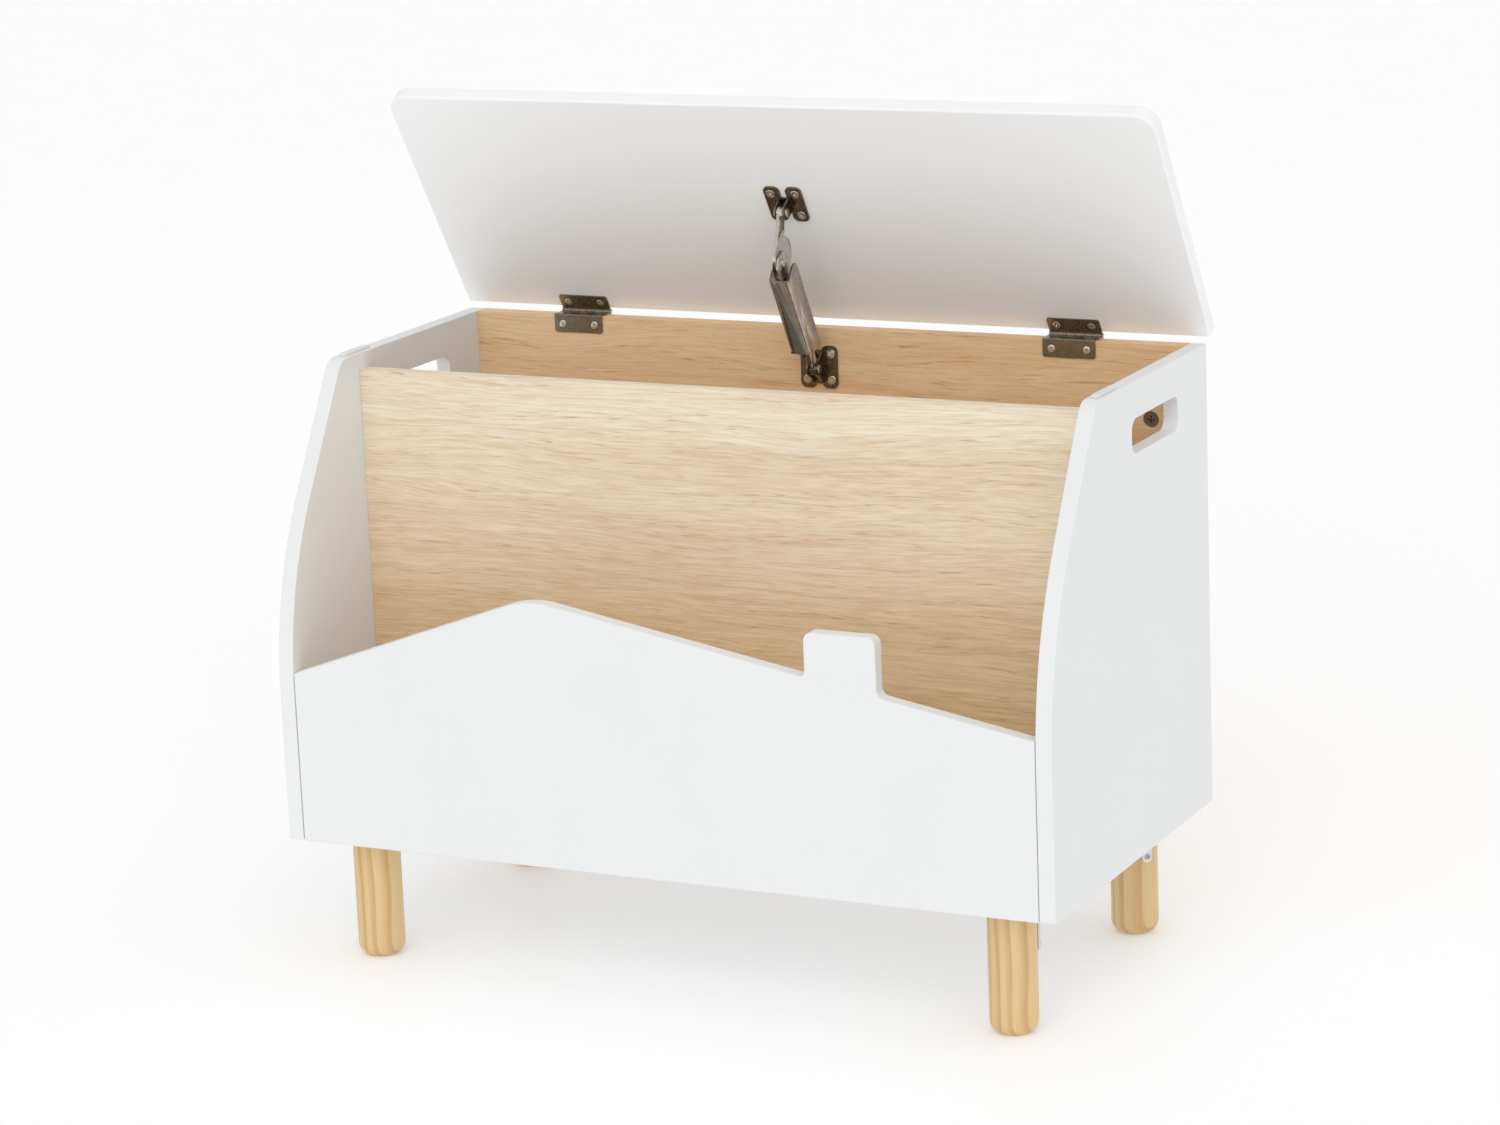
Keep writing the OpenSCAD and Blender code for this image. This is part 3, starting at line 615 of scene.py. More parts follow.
WHITE_PAINT = paint("white paint", 0.85)
# painted light: the lid has the same white paint as the other boards, made brighter (0.955 against 0.85) to
# lift its underside, which the lamps leave too dark
LID_PAINT_PAINTED_LIGHT = paint("lid white paint", 0.955)
# painted shade: the back board is the same oak foil as the divider, given a deeper, more orange ground and
# tinted all over (up to 5 m) for the shade it lies in and the light bounced onto it off the oak
SHADED_OAK_BACK = oak(
    "oak-look back board", (0.98, 0.81, 0.59), (0.86, 0.60, 0.36), (0.98, 0.9, 0.8), 5.0, 5.1
)
# painted shade: the divider is tinted deeper and warmer below 0.22 m, and the tint fades out by 0.52 m
OAK_DIVIDER_SHADED_LOW = oak(
    "oak-look divider", (0.96, 0.865, 0.70), (0.78, 0.61, 0.415), (0.98, 0.83, 0.64), 0.22, 0.52
)
# painted reflection: the brackets, the housing's front and the hinge leaves get a dark brownish base colour
# that stands in for dark surroundings reflected in their plating
NICKEL_PAINTED_DARK_REFLECTION = metal("dark nickel", (0.25, 0.215, 0.165), (0.16, 0.13, 0.095), 0.24)
HINGE_NICKEL_PAINTED_DARK_REFLECTION = metal("hinge nickel", (0.33, 0.28, 0.215), (0.22, 0.18, 0.13), 0.22)
# painted reflection: a pale copy of the housing's nickel for its side faces, which mirror the bright
# surroundings and the oak
NICKEL_PAINTED_BRIGHT_REFLECTION = metal("brushed nickel", (0.72, 0.66, 0.58), (0.58, 0.51, 0.43), 0.3)
BRIGHT_NICKEL = metal("bright nickel", (0.66, 0.64, 0.60), (0.50, 0.48, 0.44), 0.22)
SCREW_METAL = metal("screw nickel", (0.86, 0.84, 0.79), (0.66, 0.63, 0.57), 0.16)
ZINC = metal("cast zinc", (0.30, 0.27, 0.24), (0.20, 0.18, 0.16), 0.35)
STEEL = metal("galvanised steel", (0.55, 0.54, 0.52), (0.42, 0.41, 0.40), 0.32)
NYLON = material(
    "white nylon",
    PAINT,
    {"Paint": (0.84, 0.84, 0.83, 1), "Cloudy": (0.78, 0.78, 0.77, 1), "Gloss": 0.46},
    0.08,
    0.0001,
    IOR=1.5,
    Subsurface_Weight=0.05,
)
BEECH = pine("beech dowel", (0.3, 0.1, 0.0))


# --------------------------------------------------------------------- boards


def side_board(name, side, node):
    """A side board: shaped front edge, round top corner, hand hole, eased edges."""
    low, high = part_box(node)
    piece = block(name, low, high)
    lean, top_cut = 31, 117.4 * MM
    front_curve, top_corner, foot_corner = 345 * MM, 20 * MM, 3 * MM
    bend = Vector((FRONT, TOP - top_cut / tan(radians(lean))))
    with shaping(piece):
        plane_corner((FRONT, low.z), 270, 180, foot_corner, 4)
        plane_corner(bend, 180, 180 - lean, front_curve, 28, saw_end=True)
        plane_corner((FRONT + top_cut, TOP), 180 - lean, 90, top_corner, 12)
    middle = Vector((side * (INNER_X + OUTER_X) / 2, FRONT + 257.5 * MM, LEG_HEIGHT + 382.5 * MM))
    half = Vector((BOARD, 57.5 * MM, 15.5 * MM))
    hole = block("hand hole", middle - half, middle + half)
    with shaping(hole) as mesh:
        round_edges(mesh, lambda at, way: abs(way.x) > 0.9, 11 * MM, 10)
    carve(piece, hole)
    return ease(piece, BOARD_EDGE, 4)


def front_board():
    """The front board, sawn to a roof line with a chimney."""
    low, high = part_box("front_panel")
    ridge = Vector((-118 * MM, 0, LEG_HEIGHT + 248.6 * MM))
    left_eave, right_eave = Vector((low.x, 0, low.z + 160 * MM)), Vector((high.x, 0, low.z + 161 * MM))
    ridge_round, stack_round, foot_round = 21 * MM, 8 * MM, 6 * MM
    piece = block("roof_front_board", low, (high.x, high.y, ridge.z))
    stack_left, stack_right, stack_top = 153 * MM, 221 * MM, LEG_HEIGHT + 240 * MM
    with shaping(piece) as mesh:
        for eave in (left_eave, right_eave):
            run = eave - ridge
            up = Vector((-run.z, 0, run.x)) * (1 if run.x > 0 else -1)
            slice_at(ridge, up)
        for x in (stack_left, stack_right):
            slice_at((x, 0, 0), (1, 0, 0), keep_both=True)
        pick(mesh, "faces", lambda at, way: way.z > 0.9 and stack_left < at.x < stack_right)
        bpy.ops.mesh.extrude_region_move(TRANSFORM_OT_translate={"value": (0, 0, 5 * MM)})
        bpy.ops.transform.resize(value=(1, 1, 0), center_override=(0, 0, stack_top))
        across = lambda way: abs(way.y) > 0.9
        beside_stack = lambda at: min(abs(at.x - stack_left), abs(at.x - stack_right)) < MM
        at_foot = lambda at: low.z + 150 * MM < at.z < stack_top - 20 * MM
        round_edges(mesh, lambda at, way: across(way) and (at - ridge).xz.length < MM, ridge_round, 10)
        round_edges(mesh, lambda at, way: across(way) and abs(at.z - stack_top) < MM, stack_round, 8)
        round_edges(mesh, lambda at, way: across(way) and beside_stack(at) and at_foot(at), foot_round, 6)
        bpy.ops.mesh.select_all(action="SELECT")
        bpy.ops.mesh.dissolve_limited(angle_limit=radians(0.2))
    return ease(piece, BOARD_EDGE, 4)


def lid_place():
    """The lid's own frame: origin on the hinge axis, flat when closed, turned open."""
    return Matrix.Translation(HINGE) @ Matrix.Rotation(-LID_OPEN, 4, "X")


def on_lid(x, out, rise=0.0):
    """On the lid's underside: local y away from the hinge, local z out of the board."""
    underside = lid_place() @ Matrix.Translation((0, 0, LID_RISE)) @ Matrix.Rotation(pi, 4, "X")
    return underside @ Matrix.Translation((x, out, rise))


def on_back(x, z, rise=0.0):
    """On the back board's inner face: local y up, local z out of the board."""
    face = Matrix.Translation((x, BACK_FACE, z)) @ Matrix.Rotation(pi / 2, 4, "X")
    return face @ Matrix.Translation((0, 0, rise))


def lid_board():
    """The lid: round front corners and a softly rounded rim."""
    half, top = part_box("lid")[1].x, LID_RISE + BOARD
    piece = block("lid_board", (-half, -LID_GAP - LID_LENGTH, LID_RISE), (half, -LID_GAP, top))
    upright = lambda way: abs(way.z) > 0.9
    with shaping(piece) as mesh:
        round_edges(mesh, lambda at, way: upright(way) and at.y < -LID_LENGTH / 2, 20 * MM, 12)
        round_edges(mesh, lambda at, way: upright(way) and at.y > -LID_LENGTH / 2, 3 * MM, 5)
    ease(piece, 2.2 * MM, 5)
    return place(piece, lid_place())


def straight_board(name, node, locks=()):
    """A straight board with sawn edges and a bore for each of these cam locks."""
    piece = block(name, *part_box(node))
    for at in locks:
        bore = rod("bore", LOCK_BORE, (0, 0, -MM), (0, 0, LOCK_DEPTH), 48)
        carve(piece, place(bore, at))
    return ease(piece, SAWN_EDGE, 2)


# ----------------------------------------------------------- fasteners, copied


def flat_head_screw(head):
    """A countersunk cross-head screw with a slightly raised top, pointing down local -z from z = 0."""
    piece = rod("screw pattern", 1.6 * MM, (0, 0, -2.3 * MM), (0, 0, 0), 40, taper=head)
    with shaping(piece) as mesh:
        pick(mesh, "faces", lambda at, way: way.z > 0.9)
        for ring, rise in ((0.45, 0.14), (0.7, 0.1), (0.9, 0.05)):
            bpy.ops.mesh.inset(thickness=ring * MM)
            bpy.ops.transform.translate(value=(0, 0, rise * MM))
        pick(mesh, "faces", lambda at, way: way.z < -0.9)
        bpy.ops.mesh.extrude_region_move(TRANSFORM_OT_translate={"value": (0, 0, -7.2 * MM)})
        bpy.ops.mesh.extrude_region_move(TRANSFORM_OT_translate={"value": (0, 0, -2 * MM)})
        bpy.ops.transform.resize(value=(0.15, 0.15, 1), center_override=(0, 0, -11.5 * MM))
    slot_deep, slot_half = -1.3 * MM, 0.42 * MM
    slot = block("slot", (-2 * MM, -slot_half, slot_deep), (2 * MM, slot_half, 2 * MM))
    with shaping(slot) as mesh:
        pick(mesh, "faces", lambda at, way: way.z < -0.9)
        bpy.ops.transform.resize(value=(0.35, 0.6, 1), center_override=(0, 0, slot_deep))
    cross = copy_of(slot, "cross slot", Matrix.Rotation(pi / 2, 4, "Z"))
    carve(piece, slot, cross)
    return ease(piece, 0.08 * MM, 1, 40)


def cam_lock():
    """A cam lock pointing into the board along local z, its slotted face just under z = 0."""
    piece = rod("cam lock pattern", LOCK, (0, 0, 0.2 * MM), (0, 0, LOCK_DEPTH - 0.2 * MM), 48)
    with shaping(piece) as mesh:
        pick(mesh, "faces", lambda at, way: way.z < -0.9)
        bpy.ops.mesh.inset(thickness=0.9 * MM)
        bpy.ops.transform.translate(value=(0, 0, 0.6 * MM))
    slot = block("slot", (-3.6 * MM, -0.7 * MM, -1 * MM), (3.6 * MM, 0.7 * MM, 3.4 * MM))
    cross = copy_of(slot, "cross slot", Matrix.Rotation(pi / 2, 4, "Z"))
    arrow = block("arrow", (4.6 * MM, -0.5 * MM, -1 * MM), (6.2 * MM, 0.5 * MM, 1.3 * MM))
    carve(piece, slot, cross, arrow)
    return ease(piece, 0.15 * MM, 2, 40)


def set_of(name, pattern, places):
    """One piece made of a pattern's copies at these places."""
    copies = [copy_of(pattern, name, at) for at in places]
    return joined(name, copies)


# ---------------------------------------------------------------------- hinges


def knuckles(first, radius, spread=0.0):
    """Every second knuckle along the hinge axis, as bars about local x; spread makes room beside them."""
    pitch = HINGE_LENGTH / KNUCKLE_COUNT
    gap = KNUCKLE_GAP - spread
    bars = []
    for i in range(first, KNUCKLE_COUNT, 2):
        start_gap = 0 if i == 0 and not spread else gap
        end_gap = 0 if i == KNUCKLE_COUNT - 1 and not spread else gap
        start = -HINGE_LENGTH / 2 + i * pitch + start_gap
        end = -HINGE_LENGTH / 2 + (i + 1) * pitch - end_gap
        bars.append(rod("knuckle", radius, (start, 0, 0), (end, 0, 0), 40))
    return bars


def sunk(places, head):
    """Cones that countersink a leaf or a bracket for its screws."""
    cones = []
    for at in places:
        cone = rod("countersink", 1.8 * MM, (0, 0, -2.5 * MM), (0, 0, 0.02 * MM), 32, taper=head + 0.4 * MM)
        cones.append(place(cone, at))
    return cones


def body_leaf(name, x, screws):
    """The leaf on the back board: down its face, over its top edge and round the pin."""
    half = HINGE_LENGTH / 2
    piece = block(name, (x - half, BACK_FACE - LEAF, TOP - 16.5 * MM), (x + half, BACK_FACE, TOP + LEAF))
    with shaping(piece) as mesh:
        slice_at((0, 0, TOP), (0, 0, 1), keep_both=True)
        pick(mesh, "faces", lambda at, way: way.y > 0.9 and at.z > TOP)
        bpy.ops.mesh.extrude_region_move(TRANSFORM_OT_translate={"value": (0, HINGE.y - BACK_FACE, 0)})
        round_edges(mesh, lambda at, way: abs(way.y) > 0.9 and at.z < TOP - 10 * MM, 2.5 * MM, 6)
        bend = lambda at: abs(at.y - BACK_FACE + LEAF) < 0.1 * MM and at.z > TOP + LEAF / 2
        round_edges(mesh, lambda at, way: abs(way.x) > 0.9 and bend(at), 0.9 * MM, 4)
    axis = Matrix.Translation((x, HINGE.y, HINGE.z))
    carve(piece, *[place(bar, axis) for bar in knuckles(1, KNUCKLE_ROOM, spread=0.35 * MM)])
    carve(piece, *[place(bar, axis) for bar in knuckles(0, KNUCKLE)], how="UNION")
    carve(piece, *sunk(screws, HINGE_HEAD))
    return ease(piece, 0.16 * MM, 2, 35)


def lid_leaf(name, x, screws):
    """The leaf on the lid's underside."""
    half = HINGE_LENGTH / 2
    piece = block(name, (-half, -19.1 * MM, LID_RISE - LEAF), (half, 0, LID_RISE))
    with shaping(piece) as mesh:
        round_edges(mesh, lambda at, way: abs(way.z) > 0.9 and at.y < -10 * MM, 2.5 * MM, 6)
    carve(piece, *knuckles(0, KNUCKLE_ROOM, spread=0.35 * MM))
    carve(piece, *knuckles(1, KNUCKLE), how="UNION")
    place(piece, lid_place() @ Matrix.Translation((x, 0, 0)))
    carve(piece, *sunk(screws, HINGE_HEAD))
    return ease(piece, 0.16 * MM, 2, 35)


def headed_pin(name, shank, left, right, head, head_length, at):
    """A pin along local x with a domed head at each end."""
    piece = rod(name, shank, (-left, 0, 0), (right, 0, 0), 32)
    with shaping(piece) as mesh:
        for side, reach in ((-1, left), (1, right)):
            pick(mesh, "faces", lambda at, way: way.x * side > 0.9)
            for share, width in ((0, head / shank), (0.55, 1), (0.3, 0.8), (0.15, 0.55)):
                rise = (side * head_length * share, 0, 0)
                bpy.ops.mesh.extrude_region_move(TRANSFORM_OT_translate={"value": rise})
                bpy.ops.transform.resize(value=(1, width, width), center_override=(side * reach, 0, 0))
    ease(piece, 0.05 * MM, 1, 50)
    return place(piece, at)


# -------------------------------------------------------------------- lid stay


def stay_bracket(name, at, screws, foot):
    """Two screw pads joined by a web, with an ear folded up beside each pad that narrows from its foot."""
    web, pad_near, pad_far = 11.1 * MM, 3.1 * MM, 19.1 * MM
    piece = block(name, (-web, -foot, 0), (web, foot, PAD_THICK))
    for x0, x1 in ((PADS_AT - pad_far, PADS_AT - pad_near), (PADS_AT + pad_near, PADS_AT + pad_far)):
        pad = block("pad", (x0, -PAD_HALF, 0), (x1, PAD_HALF, PAD_THICK))
        with shaping(pad) as mesh:
            round_edges(mesh, lambda at, way: abs(way.z) > 0.9, 5.5 * MM, 8)
        carve(piece, pad, how="UNION")
    for x0, x1 in ((EAR_LEFT - EAR_THICK, EAR_LEFT), (EAR_RIGHT, EAR_RIGHT + EAR_THICK)):
        ear = block("ear", (x0, -foot, 0.2 * MM), (x1, foot, PIVOT_RISE + EAR_END))
        angle = atan2(-PIVOT_RISE, foot) + acos(EAR_END / Vector((foot, PIVOT_RISE)).length)
        with shaping(ear) as mesh:
            for i in range(9):
                turn = angle + (pi / 2 - angle) * i / 9
                for side in (-1, 1):
                    way = Vector((0, side * cos(turn), sin(turn)))
                    slice_at(Vector((0, 0, PIVOT_RISE)) + way * EAR_END, way)
        carve(piece, ear, how="UNION")
    place(piece, at)
    carve(piece, *sunk(screws, STAY_HEAD))
    return ease(piece, 0.35 * MM, 3, 35)


def heading(start, end):
    """The angle of the way between two points, in the (y, z) plane."""
    return atan2(end.z - start.z, end.y - start.y)


def in_housing():
    """The spring housing's own frame: local z from the lower pivot to the knee."""
    return Matrix.Translation((0, LOW_PIVOT.y, LOW_PIVOT.z)) @ Matrix.Rotation(
        heading(LOW_PIVOT, KNEE) - pi / 2, 4, "X"
    )


def in_arm():
    """The arm's own frame: local z up from the knee to the upper pivot, origin on that pivot."""
    return Matrix.Translation((0, TOP_PIVOT.y, TOP_PIVOT.z)) @ Matrix.Rotation(
        heading(TOP_PIVOT, KNEE) - 3 * pi / 2, 4, "X"
    )


def shave_line(start, end):
    """Saws a piece straight from (y, z) start to end, dropping what is on the right of that way."""
    run = Vector(end) - Vector(start)
    slice_at((0, start[0], start[1]), (0, run.y, -run.x))


def spring_housing():
    """A folded sheet channel with a seam down its front, a foot plate and a tongue."""
    left, right, wall = -11 * MM, 9.5 * MM, 1.6 * MM
    front, back, low = -11.3 * MM, 12.2 * MM, 20.5 * MM
    seam_x = left + 6 * MM
    piece = block("spring_housing", (left, front, low - 2 * MM), (right, back, 124 * MM))
    with shaping(piece) as mesh:
        shave_line((9.2 * MM, 120 * MM), (3.2 * MM, 120 * MM))
        shave_line((back, 117 * MM), (9.2 * MM, 120 * MM))
        shave_line((3.2 * MM, 120 * MM), (front, 112.5 * MM))
        shave_line((front, low + 6 * MM), (back, low))
        round_edges(mesh, lambda at, way: abs(way.z) > 0.8 and at.y < front + MM, 2.4 * MM, 5)
    hollow = block("hollow", (left + wall, front + wall, 14 * MM), (right - wall, back + MM, 130 * MM))
    with shaping(hollow) as mesh:
        round_edges(mesh, lambda at, way: abs(way.z) > 0.8 and at.y < front + 2 * MM, 1.4 * MM, 3)
    below, above, crack = 14 * MM, 130 * MM, 0.25 * MM
    seam_end = (seam_x + crack, front + wall + 0.2 * MM, above)
    seam = block("seam", (seam_x - crack, front - MM, below), seam_end)
    flange_end = (seam_x, front + wall + 0.1 * MM, 28.6 * MM)
    short = block("short flange", (left - MM, front - MM, below), flange_end)
    notch_half, notch_low = 9 * MM, 109 * MM
    notch_end = (seam_x + notch_half, front + 4 * MM, 127 * MM)
    notch = block("notch", (seam_x - notch_half, front - MM, notch_low), notch_end)
    with shaping(notch) as mesh:
        pick(mesh, "faces", lambda at, way: way.z < -0.9)
        bpy.ops.transform.resize(value=(0.12, 1, 1), center_override=(seam_x, 0, 0))
    carve(piece, hollow, seam, short, notch)
    foot_start = (left + 0.2 * MM, front + 0.3 * MM, low + 6.4 * MM)
    foot = block("foot", foot_start, (right - 0.2 * MM, 10 * MM, low + 8 * MM))
    tongue = block("tongue", (TONGUE_LEFT, -6 * MM, 0), (TONGUE_RIGHT, 6 * MM, low + 7 * MM))
    with shaping(tongue) as mesh:
        pick(mesh, "faces", lambda at, way: way.z < -0.9)
        bpy.ops.transform.resize(value=(1, 0.75, 1), center_override=(0, 0, 0))
    eye = rod("eye", PIVOT_EYE, (TONGUE_LEFT, 0, 0), (TONGUE_RIGHT, 0, 0), 40)
    carve(piece, foot, tongue, eye, how="UNION")
    bore = rod("bore", PIVOT_BORE, (-9 * MM, 0, 0), (9 * MM, 0, 0), 32)
    carve(piece, bore)
    ease(piece, 0.25 * MM, 2, 35)
    return place(piece, in_housing())


def spring_fork():
    """The fork that holds the knee: two cheeks on a spring seat and a guide rod."""
    knee = (KNEE - Vector((KNEE.x, LOW_PIVOT.y, LOW_PIVOT.z))).length
    piece = block("spring_fork", (-7.5 * MM, -9 * MM, 97.2 * MM), (7.5 * MM, 9 * MM, 100.2 * MM))
    for side in (-1, 1):
        x0, x1 = sorted((side * 2 * MM, side * 3.6 * MM))
        cheek = block("cheek", (x0, -13 * MM, 99.8 * MM), (x1, 13 * MM, knee + 10 * MM))
        with shaping(cheek) as mesh:
            shave_line((13 * MM, knee + 3 * MM), (6 * MM, knee + 10 * MM))
            shave_line((-6 * MM, knee + 10 * MM), (-13 * MM, knee + 3 * MM))
            shave_line((9 * MM, 100 * MM), (13 * MM, knee - 4 * MM))
            shave_line((-13 * MM, 118 * MM), (-9 * MM, 112 * MM))
            round_edges(mesh, lambda at, way: abs(way.x) > 0.9 and at.z > knee - 6 * MM, 2 * MM, 4)
        carve(piece, cheek, how="UNION")
    inside = block("inside", (-4 * MM, -14 * MM, 100.4 * MM), (4 * MM, -9 * MM, 114 * MM))
    guide = rod("guide", 3.2 * MM, (0, 0, SPRING_LOW + 2 * MM), (0, 0, SPRING_HIGH + 2 * MM), 32)
    carve(piece, inside)
    carve(piece, guide, how="UNION")
    ease(piece, 0.25 * MM, 2, 35)
    return place(piece, in_housing())


def coil_spring():
    """A round wire wound into a coil."""
    clear_bench()
    bpy.ops.mesh.primitive_circle_add(
        vertices=10,
        radius=0.9 * MM,
        location=(5 * MM, 0, SPRING_LOW),
        rotation=(pi / 2, 0, 0),
        fill_type="NGON",
    )
    piece = started("coil_spring")
    with_modifier(
        piece,
        "SCREW",
        axis="Z",
        angle=SPRING_TURNS * 2 * pi,
        screw_offset=SPRING_HIGH - SPRING_LOW,
        steps=SPRING_TURNS * 24,
        render_steps=SPRING_TURNS * 24,
        use_merge_vertices=False,
    )
    with shaping(piece) as mesh:
        bpy.ops.mesh.select_all(action="SELECT")
        bpy.ops.mesh.remove_doubles(threshold=1e-6)
        bpy.ops.mesh.normals_make_consistent(inside=False)
    take(piece)
    bpy.ops.object.shade_smooth_by_angle(angle=radians(60))
    return place(piece, in_housing())


def cam_arm():
    """The arm: an eye at the upper pivot, a neck, and the cam lobe that the spring presses on."""
    thick, neck_half, knee = 1.5 * MM, 5.4 * MM, -46.5 * MM
    turn = heading(TOP_PIVOT, KNEE) - 3 * pi / 2
    off = Vector((5 * MM, 7 * MM))
    lobe_y = off.x * cos(turn) + off.y * sin(turn)
    lobe_z = -off.x * sin(turn) + off.y * cos(turn) + knee
    piece = rod("cam_arm", 17.5 * MM, (-thick, lobe_y, lobe_z), (thick, lobe_y, lobe_z), 96)
    neck_low = lobe_z + 8.1 * MM
    neck = block("neck", (-thick, -neck_half, neck_low), (thick, neck_half, 0))
    with shaping(neck) as mesh:
        slice_at((0, 0, -11 * MM), (0, 0, 1), keep_both=True)
        pick(mesh, "edges", lambda at, way: abs(way.x) > 0.9 and at.y < 0 and at.z < neck_low + 0.1 * MM)
        bpy.ops.transform.translate(value=(0, lobe_y - 13.5 * MM + neck_half, 0))
    filler_start = (-thick, lobe_y - 13.4 * MM, lobe_z)
    filler = block("filler", filler_start, (thick, neck_half, neck_low + 0.2 * MM))
    eye = rod("eye", PIVOT_EYE, (-thick, 0, 0), (thick, 0, 0), 48)
    boss = rod("boss", 5.5 * MM, (TONGUE_LEFT, 0, 0), (TONGUE_RIGHT, 0, 0), 48)
    carve(piece, neck, filler, eye, boss, how="UNION")
    bore = rod("bore", PIVOT_BORE, (-9 * MM, 0, 0), (9 * MM, 0, 0), 32)
    play = rod("knee hole", 5.9 * MM, (-9 * MM, 0, knee), (9 * MM, 0, knee), 48)
    carve(piece, bore, play)
    ease(piece, 0.15 * MM, 2, 35)
    return place(piece, in_arm())


# --------------------------------------------------------------- legs and pads


def turned_leg(name, node):
    """A turned leg with a rounded foot."""
    low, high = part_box(node)
    middle = (low + high) / 2
    radius = (high.x - low.x) / 2
    piece = rod(name, radius, (middle.x, middle.y, low.z), (middle.x, middle.y, high.z), 96)
    with shaping(piece) as mesh:
        rim = lambda at, way: abs(way.z) < 0.1
        round_edges(mesh, lambda at, way: rim(at, way) and at.z < low.z + MM, 12 * MM, 12)
        round_edges(mesh, lambda at, way: rim(at, way) and at.z > high.z - MM, 0.5 * MM, 2)
    take(piece)
    bpy.ops.object.shade_smooth_by_angle(angle=radians(40))
    return piece


def bumper_pad(name, node):
    """A soft pad with round ends and an eased top."""
    piece = block(name, *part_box(node))
    with shaping(piece) as mesh:
        round_edges(mesh, lambda at, way: abs(way.z) > 0.9, 3.5 * MM, 8)
    return ease(piece, 0.7 * MM, 3)


# ------------------------------------------------------------------- assembly

for side, name in ((-1, "left_side"), (1, "right_side")):
    board = side_board(name + "_board", side, name + "_panel")
    fit(board, "carcass", "white_board", WHITE_PAINT, name + "_panel")
fit(front_board(), "carcass", "white_board", WHITE_PAINT, "front_panel")
fit(straight_board("base_board", "bottom_panel"), "carcass", "white_board", WHITE_PAINT, "bottom_panel")
fit(lid_board(), "lid", "white_board", LID_PAINT_PAINTED_LIGHT, "lid")

lock_x = INNER_X - LOCK_IN


def lock_places(y, heights, turn):
    """Where an upright board's cam locks go: at both ends, at these heights in millimetres."""
    return [
        Matrix.Translation((side * lock_x, y, LEG_HEIGHT + z * MM)) @ Matrix.Rotation(turn, 4, "X")
        for side in (-1, 1)
        for z in heights
    ]


divider_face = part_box("divider_panel")[1].y
front_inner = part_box("front_panel")[1].y
LOCKS = {
    "back": lock_places(BACK_FACE, (90, 361), -pi / 2),
    "divider": lock_places(divider_face, (80, 340), pi / 2),
    "front": lock_places(front_inner, (105,), pi / 2),
    "bottom": [
        Matrix.Translation((side * lock_x, FRONT + y * MM, LEG_HEIGHT))
        for side in (-1, 1)
        for y in (110, 255)
    ],
}
lock_pattern = cam_lock()

for name, finish in (("back", SHADED_OAK_BACK), ("divider", OAK_DIVIDER_SHADED_LOW)):
    board = straight_board(name + "_board", name + "_panel", LOCKS[name])
    fit(board, "carcass", "oak_board", finish, name + "_panel")
for board, places in LOCKS.items():
    fit(set_of(board + "_cam_locks", lock_pattern, places), "carcass", "zinc", ZINC, "cam_locks_" + board)

# Where the growth rings' axis runs beside a front leg and beside a rear leg
FRONT_RINGS, REAR_RINGS = Vector((0.055, 0.012, 0.0)), Vector((0.049, -0.02, 0.3))
for corner in ("front_left", "front_right", "rear_left", "rear_right"):
    node = "leg_" + corner
    low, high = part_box(node)
    middle = (low + high) / 2
    rings = (FRONT_RINGS if "front" in corner else REAR_RINGS) - Vector((middle.x, middle.y, 0))
    wood = pine("pine " + corner.replace("_", " "), rings)
    fit(turned_leg(corner + "_leg", node), "carcass", "pine", wood, node)

for side in ("left", "right"):
    node = "bumper_pad_" + side
    fit(bumper_pad(side + "_pad", node), "carcass", "white_plastic", NYLON, node)

hinge_screw, stay_screw = flat_head_screw(HINGE_HEAD), flat_head_screw(STAY_HEAD)
body_screws, lid_screws = [], []
for side, x in (("left", -HINGE_X), ("right", HINGE_X)):
    at_body = [on_back(x + k * SCREW_REACH, TOP - BODY_SCREW_IN, LEAF) for k in (-1, 1)]
    at_lid = [on_lid(x + k * SCREW_REACH, LID_SCREW_IN, LEAF) for k in (-1, 1)]
    body_screws += at_body
    lid_screws += at_lid
    leaf = body_leaf(side + "_hinge_body_leaf", x, at_body)
    fit(leaf, "carcass", "dark_nickel", HINGE_NICKEL_PAINTED_DARK_REFLECTION, f"hinge_{side}_body_leaf")
    leaf = lid_leaf(side + "_hinge_lid_leaf", x, at_lid)
    fit(leaf, "lid", "dark_nickel", HINGE_NICKEL_PAINTED_DARK_REFLECTION, f"hinge_{side}_lid_leaf")
    at = Matrix.Translation((x, HINGE.y, HINGE.z))
    reach = HINGE_LENGTH / 2 + 0.1 * MM
    pin = headed_pin(side + "_hinge_pin", HINGE_PIN, reach, reach, 2.05 * MM, 0.8 * MM, at)
    fit(pin, "carcass", "bright_nickel", BRIGHT_NICKEL, f"hinge_{side}_pin")
for name, body, screws in (("body", "carcass", body_screws), ("lid", "lid", lid_screws)):
    screw_set = set_of(name + "_hinge_screws", hinge_screw, screws)
    fit(screw_set, body, "bright_nickel", SCREW_METAL, f"hinge_{name}_screws")


def stay_screw_places(on_board, middle):
    """Four places on a board's face, round a bracket's middle."""
    corners = [(i, k) for i in (-1, 1) for k in (-1, 1)]
    return [on_board(PADS_AT + i * STAY_SPREAD, middle + k * STAY_SPREAD, PAD_THICK) for i, k in corners]


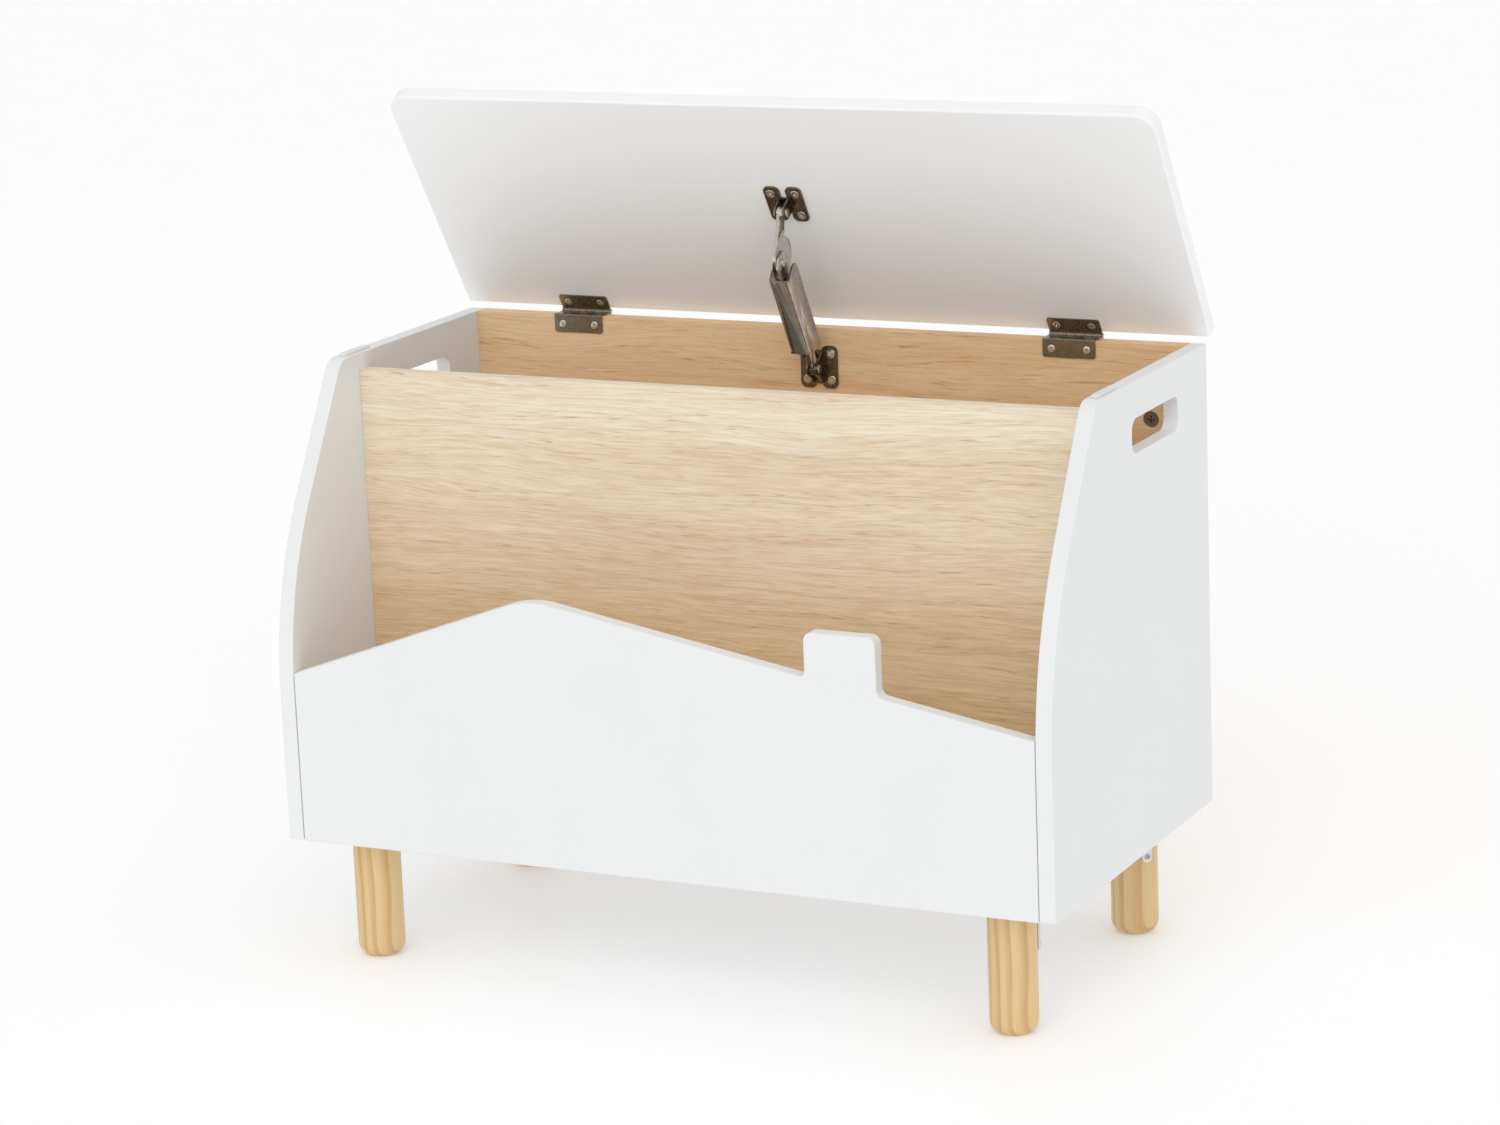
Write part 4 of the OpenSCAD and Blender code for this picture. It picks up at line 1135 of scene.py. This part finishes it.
low_screws, top_screws = stay_screw_places(on_back, LOW_PIVOT.z), stay_screw_places(on_lid, UPPER_OUT)
STAY_ENDS = (
    ("lower", "carcass", on_back(0, LOW_PIVOT.z), low_screws, 16 * MM),
    ("upper", "lid", on_lid(0, UPPER_OUT), top_screws, 7.5 * MM),
)
for name, body, at, screws, foot in STAY_ENDS:
    bracket = stay_bracket(name + "_bracket", at, screws, foot)
    fit(bracket, body, "dark_nickel", NICKEL_PAINTED_DARK_REFLECTION, f"stay_{name}_bracket")
for name, body, at, screws, foot in STAY_ENDS:
    screw_set = set_of(name + "_bracket_screws", stay_screw, screws)
    fit(screw_set, body, "bright_nickel", SCREW_METAL, f"stay_{name}_screws")
for name, body, pivot, left, right, node in (
    ("lower_pivot_pin", "carcass", LOW_PIVOT, 4.1, 6.4, "stay_lower_pin"),
    ("upper_pivot_pin", "lid", TOP_PIVOT, 4.1, 6.4, "stay_upper_pin"),
    ("knee_pin", "stay_housing", KNEE, 3.7, 3.7, "stay_knee_pin"),
):
    at = Matrix.Translation((0, pivot.y, pivot.z))
    pin = headed_pin(name, PIVOT_PIN, left * MM, right * MM, 4 * MM, 1.5 * MM, at)
    fit(pin, body, "bright_nickel", BRIGHT_NICKEL, node)
housing = fit(spring_housing(), "stay_housing", "dark_nickel", NICKEL_PAINTED_DARK_REFLECTION, "stay_housing")
# painted reflection: the housing's side faces get the pale copy of its nickel, while its front keeps the
# dark one
faces_with_painted_reflection(housing, NICKEL_PAINTED_BRIGHT_REFLECTION, lambda way: abs(way.x) > 0.7)
fit(spring_fork(), "stay_housing", "bright_nickel", BRIGHT_NICKEL, "stay_fork")
fit(coil_spring(), "stay_housing", "bright_nickel", BRIGHT_NICKEL, "stay_spring")
fit(cam_arm(), "stay_arm", "bright_nickel", BRIGHT_NICKEL, "stay_arm")

for pattern in (lock_pattern, hinge_screw, stay_screw):
    bpy.data.objects.remove(pattern)

# CAD pieces whose own shape is shown, each with its finish
KEPT = {
    "hanger_bolts": STEEL,
    "threaded_inserts": STEEL,
    "leg_bracket_screws": STEEL,
    "leg_brackets": NYLON,
    "cam_bolts_left": STEEL,
    "cam_bolts_right": STEEL,
    "dowels_left": BEECH,
    "dowels_right": BEECH,
}
for node, finish in KEPT.items():
    kept = frame["nodes"][node]
    kept.data.materials.clear()
    kept.data.materials.append(finish)


# ------------------------------------------------------------ floor and lights


def pale_floor():
    clear_bench()
    bpy.ops.mesh.primitive_plane_add(size=24, location=(0, 0, 0))
    floor = bpy.context.active_object
    floor.name = "studio_floor"
    m = material(
        "pale floor",
        PAINT,
        {"Paint": (0.95, 0.95, 0.95, 1), "Cloudy": (0.945, 0.945, 0.945, 1), "Gloss": 0.5},
        0.0,
        0.0001,
        IOR=1.3,
        Emission_Color=(1, 1, 1, 1),
        Emission_Strength=0.16,
    )
    floor.data.materials.append(m)


def sky_light(name, power, spread, at):
    """An even light from far off, as wide as spread."""
    data = bpy.data.lights.new(name, "SUN")
    data.energy = power
    data.angle = spread
    lamp = bpy.data.objects.new(name, data)
    bpy.context.scene.collection.objects.link(lamp)
    lamp.rotation_euler = Vector(at).to_track_quat("Z", "Y").to_euler()


def studio_world():
    """Plain white all round; what lights the object is a little dimmer than what is seen."""
    world = bpy.data.worlds.new("studio")
    bpy.context.scene.world = world
    world.use_nodes = True
    tree = world.node_tree
    tree.nodes.clear()
    seen = add(tree, "ShaderNodeBackground", {"Color": (1, 1, 1, 1), "Strength": 1.05})
    lit = add(tree, "ShaderNodeBackground", {"Color": (1, 1, 1, 1), "Strength": 0.70})
    mix = add(
        tree,
        "ShaderNodeMixShader",
        {
            0: add(tree, "ShaderNodeLightPath").outputs["Is Camera Ray"],
            1: lit.outputs[0],
            2: seen.outputs[0],
        },
    )
    add(tree, "ShaderNodeOutputWorld", {"Surface": mix.outputs[0]})


def studio_camera():
    """A long lens in front of the box, a little to its right and above it."""
    data = bpy.data.cameras.new("camera")
    data.sensor_width = 36
    data.lens = 103.85928
    data.clip_end = 100
    camera = bpy.data.objects.new("camera", data)
    bpy.context.scene.collection.objects.link(camera)
    yaw, pitch, roll = 0.4629, -0.2367, -0.0402
    ahead = Vector((-sin(yaw) * cos(pitch), cos(yaw) * cos(pitch), sin(pitch)))
    right = ahead.cross(Vector((0, 0, 1))).normalized()
    up = right.cross(ahead)
    right, up = cos(roll) * right + sin(roll) * up, cos(roll) * up - sin(roll) * right
    turn = Matrix((right, up, -ahead)).transposed()
    stand = Matrix.Translation((1.72434, -3.44502, 1.29180))
    camera.matrix_world = stand @ turn.to_4x4()
    bpy.context.scene.camera = camera


pale_floor()
studio_world()
sky_light("overhead light", 0.26, radians(57), (0.25, -0.1, 1.0))
sky_light("front light", 0.40, radians(40), (0.1, -1.0, 0.7))
sky_light("right front light", 0.25, radians(40), (0.7, -1.0, 0.7))
studio_camera()
bpy.context.scene.view_settings.view_transform = "Standard"
bpy.context.scene.view_settings.look = "None"
